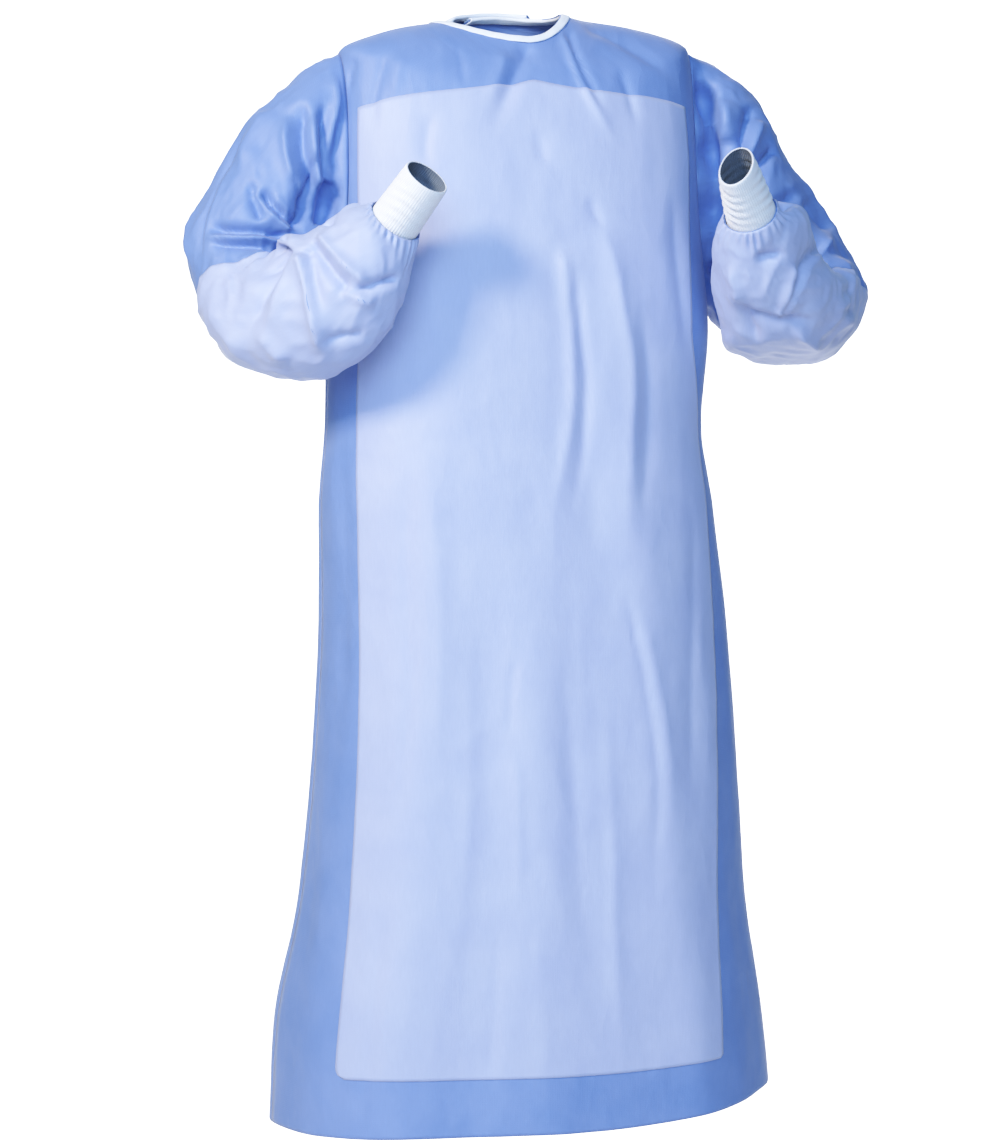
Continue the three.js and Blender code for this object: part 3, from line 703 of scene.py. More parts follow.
@dataclass(frozen=True)
class ClothFinish:
    """The finish of a nonwoven or laminate: its colours, sheen and bonded texture.

    A texture's three numbers are its scale, detail and roughness.
    """

    sheen_roughness = 0.45
    cloud = (14.0, 5.0, 0.55)
    cloud_span = (0.35, 0.65)
    streak_shape = (1.0, 0.12, 1.0)
    streak_share = 0.55
    streak_detail = (3.0, 0.6)
    streak_span = (0.25, 0.75)
    streak_shade = (0.80, 1.0)
    streak_weight = 0.35
    fibre_detail = (4.0, 0.7)
    fibre_span = (0.3, 0.7)
    roughness_span = 0.07
    bump_depth = 0.0004
    dent_shape = (1.0, 0.55, 1.0)
    dent_detail = (3.0, 0.5)

    name: str
    base: tuple[float, float, float]
    worn: tuple[float, float, float]
    roughness: float
    sheen: float
    specular: float
    bump: float
    fibre: float = 900.0
    crumple: float = 0.0
    crumple_scale: float = 12.0

    def material(self) -> bpy.types.Material:
        """Build the material.

        Returns:
            A procedural material that follows the cloth's own flat places.
        """
        material, tree, shader = new_material(self.name)
        set_inputs(shader, {
            "Sheen Weight": self.sheen,
            "Sheen Roughness": self.sheen_roughness,
            "Specular IOR Level": self.specular,
        })
        places = cloth_places(tree)
        cloud = noise(tree, places, *self.cloud)
        streaks = stretched(tree, places, self.streak_shape)
        streak = noise(tree, streaks, self.fibre * self.streak_share, *self.streak_detail)
        fibres = noise(tree, places, self.fibre, *self.fibre_detail)
        blend = mix_colour(tree, cloud, self.base, self.worn, self.cloud_span)
        threads = tree.nodes.new("ShaderNodeMix")
        threads.data_type = "RGBA"
        threads.blend_type = "MULTIPLY"
        threads.inputs["Factor"].default_value = self.streak_weight
        grain = ramp(tree, streak, self.streak_span, self.streak_shade)
        tree.links.new(blend, threads.inputs["A"])
        tree.links.new(grain, threads.inputs["B"])
        tree.links.new(threads.outputs["Result"], shader.inputs["Base Color"])
        low, high = self.roughness - self.roughness_span, self.roughness + self.roughness_span
        tree.links.new(ramp(tree, fibres, self.fibre_span, (low, high)), shader.inputs["Roughness"])
        height = bond_height(tree, places, fibres)
        bumped = bump_node(tree, height, self.bump, self.bump_depth, self.crumpled(tree, places))
        tree.links.new(bumped, shader.inputs["Normal"])
        return material

    def crumpled(self, tree: bpy.types.NodeTree, places: bpy.types.NodeSocket) -> bpy.types.NodeSocket:
        """Add the crisp small dents of handled nonwoven, where flat facets meet in fine ridges."""
        long_way = stretched(tree, places, self.dent_shape)
        folds = noise(tree, long_way, self.crumple_scale, *self.dent_detail)
        offset = math_node(tree, "SUBTRACT", folds, 0.5)
        ridge = math_node(tree, "ABSOLUTE", offset)
        return bump_node(tree, ridge, 1.0, self.crumple * 2.0, sunk=True)


def new_material(name: str) -> tuple[bpy.types.Material, bpy.types.NodeTree, bpy.types.Node]:
    """Make a material, and return it with its tree and its shader."""
    material = bpy.data.materials.new(name)
    material.use_nodes = True
    return material, material.node_tree, material.node_tree.nodes["Principled BSDF"]


def set_inputs(node: bpy.types.Node, values: dict[str, float | tuple[float, ...]]) -> None:
    """Set a node's inputs by name."""
    for name, value in values.items():
        node.inputs[name].default_value = value


def cloth_places(tree: bpy.types.NodeTree) -> bpy.types.NodeSocket:
    """Read the cloth's own flat places."""
    node = tree.nodes.new("ShaderNodeUVMap")
    node.uv_map = CLOTH_UV
    return node.outputs[0]


def noise(tree: bpy.types.NodeTree, places: bpy.types.NodeSocket, scale: float, detail: float,
          roughness: float) -> bpy.types.NodeSocket:
    """Add a noise texture on given places."""
    node = tree.nodes.new("ShaderNodeTexNoise")
    set_inputs(node, {"Scale": scale, "Detail": detail, "Roughness": roughness})
    tree.links.new(places, node.inputs["Vector"])
    return node.outputs["Fac"]


def stretched(tree: bpy.types.NodeTree, places: bpy.types.NodeSocket,
              scale: tuple[float, float, float]) -> bpy.types.NodeSocket:
    """Scale places unevenly."""
    node = tree.nodes.new("ShaderNodeMapping")
    node.inputs["Scale"].default_value = scale
    tree.links.new(places, node.inputs["Vector"])
    return node.outputs[0]


def ramp(tree: bpy.types.NodeTree, value: bpy.types.NodeSocket, span: tuple[float, float],
         result: tuple[float, float]) -> bpy.types.NodeSocket:
    """Map a value from one span to another, held at the ends."""
    node = tree.nodes.new("ShaderNodeMapRange")
    set_inputs(node, {"From Min": span[0], "From Max": span[1], "To Min": result[0], "To Max": result[1]})
    tree.links.new(value, node.inputs["Value"])
    return node.outputs[0]


def mix_colour(tree: bpy.types.NodeTree, value: bpy.types.NodeSocket, first: tuple[float, float, float],
               second: tuple[float, float, float], span: tuple[float, float]) -> bpy.types.NodeSocket:
    """Blend between two colours as a value rises over a span."""
    node = tree.nodes.new("ShaderNodeValToRGB")
    for element, position, colour in zip(node.color_ramp.elements, span, (first, second)):
        element.position = position
        element.color = (*colour, 1.0)
    tree.links.new(value, node.inputs["Fac"])
    return node.outputs["Color"]


def math_node(tree: bpy.types.NodeTree, operation: str, value: bpy.types.NodeSocket,
              number: float | None = None, added: bpy.types.NodeSocket | None = None) -> bpy.types.NodeSocket:
    """Work on a value with a number, and with another value where one is given."""
    node = tree.nodes.new("ShaderNodeMath")
    node.operation = operation
    tree.links.new(value, node.inputs[0])
    if number is not None:
        node.inputs[1].default_value = number
    if added is not None:
        tree.links.new(added, node.inputs[2])
    return node.outputs[0]


def bump_node(tree: bpy.types.NodeTree, height: bpy.types.NodeSocket, strength: float, distance: float,
              under: bpy.types.NodeSocket | None = None, sunk: bool = False) -> bpy.types.NodeSocket:
    """Turn a height into a bump, on top of another one where it is given."""
    node = tree.nodes.new("ShaderNodeBump")
    node.invert = sunk
    set_inputs(node, {"Strength": strength, "Distance": distance})
    tree.links.new(height, node.inputs["Height"])
    if under is not None:
        tree.links.new(under, node.inputs["Normal"])
    return node.outputs[0]


def mix_shaders(tree: bpy.types.NodeTree, share: bpy.types.NodeSocket, first: bpy.types.Node,
                second: bpy.types.Node, output: str) -> None:
    """Show one shader, and another where the share is one."""
    mixed = tree.nodes.new("ShaderNodeMixShader")
    tree.links.new(share, mixed.inputs["Fac"])
    tree.links.new(first.outputs[0], mixed.inputs[1])
    tree.links.new(second.outputs[0], mixed.inputs[2])
    tree.links.new(mixed.outputs[0], tree.nodes[output].inputs["Surface"])


# The pressed bond points of nonwoven, and how high its fibres stand between them
BOND_SCALE = 520.0
BOND_UNEVENNESS = 0.25
BOND_SPAN = (0.12, 0.32)
FIBRE_HEIGHT = 0.6


def bond_height(tree: bpy.types.NodeTree, places: bpy.types.NodeSocket,
                fibres: bpy.types.NodeSocket) -> bpy.types.NodeSocket:
    """Small pressed bond points in rows, with fibres between them."""
    cells = tree.nodes.new("ShaderNodeTexVoronoi")
    set_inputs(cells, {"Scale": BOND_SCALE, "Randomness": BOND_UNEVENNESS})
    tree.links.new(places, cells.inputs["Vector"])
    pressed = ramp(tree, cells.outputs["Distance"], BOND_SPAN, (0.0, 1.0))
    return math_node(tree, "MULTIPLY_ADD", fibres, FIBRE_HEIGHT, pressed)


@dataclass(frozen=True)
class KnitFinish:
    """The finish of the white rib knit, whose loops follow the ribs."""

    sheen = 0.25
    specular = 0.25
    loop_scale = 210.0
    loop_distortion = 1.5
    loop_detail = 2.0
    loop_span = (0.1, 0.6)
    fuzz = (1500.0, 3.0, 0.6)
    fuzz_span = (0.3, 0.7)
    fuzz_height = 0.5
    roughness_span = 0.05
    bump = 0.5
    bump_depth = 0.0004

    name: str
    base: tuple[float, float, float]
    # shade is painted shade in the dips between the loops, where the bump is low; base is the knit's own
    # white
    shade: tuple[float, float, float]
    roughness: float = 0.92

    def material(self) -> bpy.types.Material:
        """Build the material.

        Returns:
            A procedural material with rows of loops along each rib.
        """
        material, tree, shader = new_material(self.name)
        set_inputs(shader, {"Sheen Weight": self.sheen, "Specular IOR Level": self.specular})
        places = cloth_places(tree)
        loops = tree.nodes.new("ShaderNodeTexWave")
        loops.bands_direction = "Y"
        set_inputs(loops, {
            "Scale": self.loop_scale, "Distortion": self.loop_distortion, "Detail": self.loop_detail,
        })
        tree.links.new(places, loops.inputs["Vector"])
        fuzz = noise(tree, places, *self.fuzz)
        colour = mix_colour(tree, loops.outputs["Fac"], self.shade, self.base, self.loop_span)
        tree.links.new(colour, shader.inputs["Base Color"])
        low, high = self.roughness - self.roughness_span, self.roughness + self.roughness_span
        tree.links.new(ramp(tree, fuzz, self.fuzz_span, (low, high)), shader.inputs["Roughness"])
        height = math_node(tree, "MULTIPLY_ADD", fuzz, self.fuzz_height, loops.outputs["Fac"])
        tree.links.new(bump_node(tree, height, self.bump, self.bump_depth), shader.inputs["Normal"])
        return material


BLUE_NONWOVEN = ClothFinish(
    "blue_nonwoven", base=(0.125, 0.210, 0.510), worn=(0.155, 0.240, 0.550), roughness=0.60, sheen=0.15,
    specular=0.7, bump=0.25, crumple=0.0022,
)
LIGHT_LAMINATE = ClothFinish(
    "light_laminate", base=(0.360, 0.415, 0.680), worn=(0.390, 0.445, 0.700), roughness=0.55, sheen=0.20,
    specular=0.45, bump=0.16, crumple=0.0014,
)
WHITE_TAPE = ClothFinish(
    "white_tape", base=(0.78, 0.82, 0.90), worn=(0.84, 0.87, 0.93), roughness=0.75, sheen=0.2,
    specular=0.3, bump=0.3,
)
WHITE_KNIT = KnitFinish("white_knit", base=(0.88, 0.88, 0.89), shade=(0.66, 0.67, 0.71))
# Painted shade: dark navy for the cuffs' inner face, standing in for the shadow inside the open cuff; the
# real knit is white inside too
KNIT_INSIDE_PAINTED_SHADE = KnitFinish("knit_inside_painted_shade", base=(0.16, 0.19, 0.24), shade=(0.06, 0.08, 0.11))


class Finishes:
    """The materials, each made once and shared by the pieces."""

    def __init__(self) -> None:
        """Make every material."""
        self.blue = BLUE_NONWOVEN.material()
        self.light = LIGHT_LAMINATE.material()
        self.tape = WHITE_TAPE.material()
        self.knit = WHITE_KNIT.material()
        self.knit_inside_painted_shade = KNIT_INSIDE_PAINTED_SHADE.material()


# Pieces


@dataclass(frozen=True)
class Cut:
    """A piece's cut: its flat width, length and area in metres and square metres, and how it is held."""

    width: float
    length: float
    area: float
    held: str
    rests_on: tuple[str, ...] = ()


def dress(obj: bpy.types.Object, node: str, material: bpy.types.Material,
          inside: bpy.types.Material | None = None) -> None:
    """Give a piece its material, hang it on the root, and hide the frame's part that it replaces.

    Args:
        obj: The piece.
        node: The frame's node that it replaces.
        material: Its material.
        inside: The material of its inner face, where that differs.
    """
    if inside is None:
        obj.data.materials.append(material)
    else:
        obj.data.materials[0] = material
        obj.data.materials[1] = inside
    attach(obj, ROOT)
    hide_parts(node)
    LOG.info("%s: %d faces", obj.name, len(obj.data.polygons))


def creased(grid: ClothGrid, creases: tuple[Crease, ...], dents: Crumple, seed: int,
            keep: np.ndarray, strength: float = 1.0) -> np.ndarray:
    """Work out the whole lift of a sheet's creases and dents.

    Args:
        grid: The sheet.
        creases: Its listed folds.
        dents: Its uneven dents.
        seed: Which dents.
        keep: 0 where the sheet keeps its place, such as at a seam, up to 1.
        strength: How much of their height the folds in the photo take.

    Returns:
        The lift in millimetres.
    """
    lift = dents.lift(grid.points, seed)
    for crease in creases:
        share = strength if crease.plane is Seen.PHOTO else 1.0
        lift = lift + crease.lift(grid.points, grid.normals) * share
    return lift * keep


def creases(plane: Seen, rows: list[tuple]) -> tuple[Crease, ...]:
    """Make the creases of one drawing plane from rows of path, height, left, right, crisp, rise and fall."""
    return tuple(Crease(*row, plane) for row in rows)


FRONT_CREASES = creases(Seen.PHOTO, [
    (((560, 30), (571, 58), (584, 88), (604, 124), (622, 152)), 5.6, 12, 4, 0.95, 0.1, 0.6),
    (((568, 28), (578, 60), (592, 88), (612, 122)), -4.6, 4, 12, 0.75, 0.1, 0.5),
    (((532, 40), (518, 70), (506, 98), (490, 132)), -4.8, 9, 11, 0.45, 0.15, 0.5),
    (((506, 48), (498, 80), (484, 110)), 2.5, 9, 10, 0.45, 0.2, 0.5),
    (((457, 43), (462, 66), (464, 90)), -1.6, 3, 4, 0.75, 0.2, 0.4),
    (((578, 24), (610, 36), (648, 58), (686, 86)), -3.7, 9, 7, 0.55, 0.15, 0.4),
    (((620, 66), (626, 86), (632, 104), (637, 128)), -2.8, 5, 5, 0.75, 0.2, 0.4),
    (((388, 46), (378, 82), (373, 112), (381, 140)), -3.4, 6, 8, 0.65, 0.2, 0.4),
    (((356, 56), (349, 76), (346, 96)), -3.7, 5, 6, 0.65, 0.25, 0.4),
    (((405, 50), (396, 80), (390, 104)), 2.3, 8, 8, 0.55, 0.3, 0.4),
    (((432, 110), (428, 132), (426, 152), (434, 172)), -3.0, 6, 9, 0.65, 0.3, 0.4),
    (((536, 130), (541, 148), (545, 170)), -2.1, 5, 6, 0.75, 0.3, 0.4),
    (((588, 196), (596, 214), (606, 232)), -2.5, 5, 6, 0.75, 0.3, 0.4),
    (((560, 238), (566, 290), (571, 350), (570, 420), (556, 500), (540, 566)), 5.8, 24, 8, 0.75, 0.1, 0.6),
    (((572, 250), (580, 320), (586, 390), (580, 470), (562, 545)), -4.1, 6, 13, 0.55, 0.2, 0.5),
    (((597, 206), (613, 262), (624, 318), (632, 372), (629, 470), (626, 585)), 4.1, 12, 9, 0.75, 0.2, 0.5),
    (((640, 300), (648, 380), (646, 470), (640, 560)), -3.2, 8, 10, 0.55, 0.3, 0.5),
    (((627, 590), (636, 636), (646, 682), (658, 772), (656, 850), (653, 934)),
     -2.3, 5.6, 6.4, 0.85, 0.1, 0.5),
    (((640, 600), (656, 680), (670, 770), (668, 880)), 1.9, 7.2, 11.2, 0.55, 0.2, 0.5),
    (((516, 655), (511, 700), (511, 740)), -1.7, 4.8, 5.6, 0.75, 0.2, 0.3),
    (((514, 750), (518, 800), (519, 860), (518, 922)), 1.6, 7.2, 7.2, 0.75, 0.2, 0.4),
    (((411, 455), (408, 530), (409, 610), (411, 700), (404, 770), (397, 830)),
     -2.1, 8, 12.8, 0.55, 0.2, 0.3),
    (((430, 440), (436, 560), (440, 680), (430, 800)), 1.7, 14.4, 14.4, 0.45, 0.3, 0.4),
    (((464, 600), (470, 720), (466, 860), (452, 1010)), 2.1, 14.4, 17.6, 0.55, 0.3, 0.4),
    (((560, 640), (572, 760), (580, 880), (590, 1010)), -1.9, 11.2, 12.8, 0.55, 0.3, 0.4),
    (((604, 700), (612, 820), (616, 960), (622, 1080)), 1.9, 9.6, 11.2, 0.65, 0.3, 0.3),
    (((690, 470), (694, 580), (692, 700), (690, 840)), -2.1, 6.4, 9.6, 0.65, 0.3, 0.4),
    (((719, 600), (724, 680), (729, 745), (735, 930)), 1.9, 4.8, 4.8, 0.85, 0.2, 0.3),
    (((672, 180), (676, 250), (684, 320), (690, 380)), -3.2, 8, 8, 0.65, 0.3, 0.4),
    (((384, 880), (378, 960), (370, 1050), (362, 1130)), -2.1, 9.6, 11.2, 0.55, 0.3, 0.2),
    (((500, 900), (496, 990), (488, 1090)), -1.9, 11.2, 12.8, 0.55, 0.4, 0.2),
    (((330, 560), (328, 700), (322, 860), (312, 1010)), 2.1, 8, 9.6, 0.65, 0.3, 0.3),
    (((340, 420), (344, 540), (342, 680), (336, 800)), -3.7, 7, 9, 0.65, 0.2, 0.4),
])

BACK_CREASES = creases(Seen.BACK, [
    (((-120, 70), (-96, 150), (-70, 250), (-60, 360)), 4.7, 18, 14, 0.6, 0.2, 0.5),
    (((110, 60), (84, 150), (66, 240), (60, 330)), -4.2, 14, 16, 0.5, 0.2, 0.5),
    (((-20, 60), (-14, 180), (-22, 300)), -3.4, 12, 12, 0.5, 0.3, 0.5),
    (((-150, 300), (-96, 380), (-60, 430), (10, 452)), 5.2, 12, 16, 0.7, 0.2, 0.4),
    (((-170, 380), (-120, 430), (-70, 456)), -4.4, 10, 12, 0.6, 0.2, 0.3),
    (((150, 380), (90, 440), (20, 462), (-60, 462)), 4.7, 10, 14, 0.7, 0.3, 0.3),
    (((-60, 480), (-80, 600), (-110, 760), (-130, 960)), 6.0, 18, 16, 0.6, 0.1, 0.3),
    (((-10, 480), (-4, 640), (10, 820), (16, 1000)), -5.5, 16, 18, 0.5, 0.1, 0.3),
    (((60, 500), (84, 640), (100, 800), (118, 1010)), 5.7, 16, 20, 0.6, 0.2, 0.3),
    (((130, 520), (150, 680), (168, 860), (190, 1060)), -5.2, 14, 16, 0.5, 0.2, 0.3),
    (((-160, 560), (-176, 700), (-190, 880), (-214, 1080)), -5.2, 14, 14, 0.5, 0.2, 0.3),
    (((40, 700), (52, 860), (50, 1040)), 3.4, 10, 12, 0.7, 0.3, 0.3),
]) + creases(Seen.LEFT, [
    (((-40, 320), (-26, 460), (-30, 620), (-34, 800)), 4.2, 9, 12, 0.6, 0.2, 0.3),
    (((30, 360), (40, 520), (56, 700), (60, 900)), -4.4, 12, 12, 0.5, 0.2, 0.3),
]) + creases(Seen.RIGHT, [
    (((-36, 340), (-30, 480), (-44, 640), (-50, 860)), -4.2, 10, 12, 0.5, 0.2, 0.3),
    (((26, 350), (36, 500), (52, 660), (66, 880)), 4.4, 12, 10, 0.6, 0.2, 0.3),
])


@dataclass
class GownBody:
    """The front, the two wrapping backs and the front's light reinforcement."""

    step: float = 4.0
    back_step: float = 5.0
    cloth: float = 0.8
    film: float = 0.5
    film_gap: float = 0.3
    dents: Crumple = Crumple(0.7, 1.1, 62.0, 2.2)
    strength: float = 1.25
    flap_lift: float = 5.4
    flap_rise: tuple[float, float] = (1.4, 1.54)
    flap_edge: tuple[float, float] = (-2.36, -2.52)
    under_edge: tuple[float, float] = (2.32, 2.42)
    rows_down = table(
        "side middle",
        [
            (0, 0), (9.3, 9.3), (42, 20), (80, 34), (86.8, 42), (106.2, 53), (136, 66), (172.6, 112),
            (211.4, 168), (248, 220), (277.8, 262), (297.2, 292), (304, 304), (362, 362), (438, 438),
            (1208, 1208),
        ],
    )
    rise_power: float = 1.15
    panel_top: float = 136.0
    panel_bottom: float = 1148.0
    corners: tuple[float, float] = (13.0, 5.0)
    collar_row: float = 9.3
    strip_columns: int = 10
    panel_columns: int = 104
    panel_margin: float = 0.012
    back_columns: int = 84
    neck_fade: float = 22.0
    seam_fade: float = 8.0
    back_seam_fade: float = 14.0
    front_seed: int = 3
    back_seed: int = 9
    edges = table(
        "down right left",
        [
            (66, 207, 200),
            (168, 206, 198),
            (250, 205, 194),
            (330, 205, 194),
            (438, 208, 216),
            (660, 208, 228),
            (960, 222, 211),
            (1148, 240, 206),
        ],
    )

    def rows(self, step: float) -> np.ndarray:
        """Ways down the side for every row, a step apart and on the panel's own edges."""
        marks = np.array([0, self.collar_row, self.panel_top, self.panel_bottom, FORM.length])
        pieces = [
            np.linspace(start, end, max(2, int(round((end - start) / step))), endpoint=False)
            for start, end in zip(marks[:-1], marks[1:])
        ]
        return np.concatenate([*pieces, [FORM.length]])

    def panel_share(self, down: np.ndarray, side: str) -> np.ndarray:
        """Place of the reinforcement's edge round the body."""
        held = np.clip(down, self.edges["down"][0], self.panel_bottom)
        widths = curve_value(self.edges["down"], self.edges[side], held)
        return widths / FORM.quarter(-0.5 if side == "right" else 0.5, held)

    def front_grid(self) -> tuple[ClothGrid, tuple[int, int, int, int]]:
        """Lay out the front.

        Returns:
            The sheet, and the reinforcement's first and last row and column in it.
        """
        down = self.rows(self.step)
        edge = 1.0 - ARMHOLE.reach(down, ARMHOLE.front)
        right, left = -self.panel_share(down, "right"), self.panel_share(down, "left")
        right = np.maximum(right, -edge + self.panel_margin)
        left = np.minimum(left, edge - self.panel_margin)
        strip = np.linspace(0.0, 1.0, self.strip_columns, endpoint=False)
        middle = np.linspace(0.0, 1.0, self.panel_columns, endpoint=False)
        across = np.concatenate([
            -edge[:, None] + (right + edge)[:, None] * strip,
            right[:, None] + (left - right)[:, None] * middle,
            left[:, None] + (edge - left)[:, None] * strip,
            edge[:, None],
        ], axis=1)
        middle_down = np.interp(down, self.rows_down["side"], self.rows_down["middle"])
        share = (np.abs(across) / edge[:, None]) ** self.rise_power
        ways = middle_down[:, None] + (down - middle_down)[:, None] * share
        points, normals = FORM.cloth(across, ways)
        scale = FORM.quarter(0.5, ways[:, 0])[:, None]
        grid = ClothGrid(points, normals, np.stack([across * scale, -ways], axis=-1))
        top = int(np.argmin(np.abs(down - self.panel_top)))
        bottom = int(np.argmin(np.abs(down - self.panel_bottom)))
        seam = smoothstep((edge[:, None] - np.abs(across)) * scale, 0.0, self.seam_fade)
        keep = seam * smoothstep(ways, 0.0, self.neck_fade)
        lift = creased(grid, FRONT_CREASES, self.dents, self.front_seed, keep, self.strength)
        return grid.moved(lift), (top, bottom, len(strip), len(strip) + len(middle))

    def rounded(self, panel: ClothGrid) -> ClothGrid:
        """Round the reinforcement's two lower corners off.

        Args:
            panel: Its sheet with square corners.

        Returns:
            The sheet with its lowest rows drawn in at both ends.
        """
        rows, columns = panel.points.shape[:2]
        to_bottom = (panel.flat[:, :1, 1] - panel.flat[-1:, :1, 1]).clip(0.0)
        width = np.linalg.norm(np.diff(panel.points, axis=1), axis=-1).sum(axis=1, keepdims=True)
        drawn = [
            radius - np.sqrt(np.maximum(radius**2 - np.maximum(radius - to_bottom, 0.0) ** 2, 0.0))
            for radius in self.corners
        ]
        start, end = drawn[0] / width, 1.0 - drawn[1] / width
        place = (start + (end - start) * np.linspace(0.0, 1.0, columns)) * (columns - 1)
        low = np.minimum(place.astype(int), columns - 2)
        index = np.broadcast_to(np.arange(rows)[:, None], low.shape)
        return panel.between(index, low, (place - low)[..., None], (0, 1))

    def lift_of_flap(self, across: np.ndarray) -> np.ndarray:
        """How far the outer flap stands off the back under it."""
        return self.flap_lift * smoothstep(np.abs(across), *self.flap_rise)

    def back_lift(self, grid: ClothGrid, ways: np.ndarray) -> np.ndarray:
        """How far the backs' creases lift a sheet that lies on them."""
        keep = smoothstep(ways, 0.0, self.neck_fade)
        return creased(grid, BACK_CREASES, self.dents, self.back_seed, keep)

    def back_grid(self, edge: tuple[float, float], outer: bool) -> ClothGrid:
        """Lay out one back.

        Args:
            edge: Its free edge's place at the neck and at the hem.
            outer: Whether it is the flap on top.

        Returns:
            The sheet.
        """
        down = self.rows(self.back_step)
        side = math.copysign(1.0, edge[0])
        start = side * (1.0 + ARMHOLE.reach(down, ARMHOLE.back))
        end = edge[0] + (edge[1] - edge[0]) * down / FORM.length
        shares = np.linspace(0.0, 1.0, self.back_columns)
        across = start[:, None] + (end - start)[:, None] * shares
        ways = np.repeat(down[:, None], len(shares), axis=1)
        points, normals = FORM.cloth(across, ways)
        scale = FORM.quarter(1.5 * side, down)[:, None]
        grid = ClothGrid(points, normals, np.stack([across * scale, -ways], axis=-1))
        seam = smoothstep((np.abs(across) - np.abs(start)[:, None]) * scale, 0.0, self.back_seam_fade)
        lift = self.back_lift(grid, ways) * seam
        return grid.moved(lift + self.lift_of_flap(across) if outer else lift)

    def build(self, finishes: Finishes) -> None:
        """Make and dress the body's four sheets."""
        grid, (top, bottom, first, last) = self.front_grid()
        front = grid.mesh("gown_front", self.cloth)
        dress(front, "front_body", finishes.blue)
        panel = self.rounded(grid.part(slice(top, bottom + 1), slice(first, last + 1)))
        panel = panel.moved(self.film_gap + self.film)
        film = panel.mesh("gown_front_reinforcement", self.film)
        dress(
            film, "front_reinforcement", finishes.light,
        )
        flap = self.back_grid(self.flap_edge, True).mesh("gown_back_right", self.cloth)
        dress(
            flap, "back_right", finishes.blue,
        )
        under = self.back_grid(self.under_edge, False).mesh("gown_back_left", self.cloth)
        dress(under, "back_left", finishes.blue)


@dataclass(frozen=True)
class CuffForm:
    """A knit cuff's middle line, and its half width across and up at the base and at the open end."""

    base: tuple[float, float, float]
    end: tuple[float, float, float]
    base_half: tuple[float, float] = (28.0, 28.0)
    end_half: tuple[float, float] = (25.5, 25.5)
    lap: float = 6.0
    knit: float = 1.6

    def directions(self) -> tuple[np.ndarray, np.ndarray, np.ndarray]:
        """Return the ways along the cuff, level across it, and up across it."""
        axis = np.array(self.end, dtype=float) - np.array(self.base, dtype=float)
        axis /= np.linalg.norm(axis)
        side = np.cross(UP, axis)
        side /= np.linalg.norm(side)
        return axis, side, np.cross(axis, side)


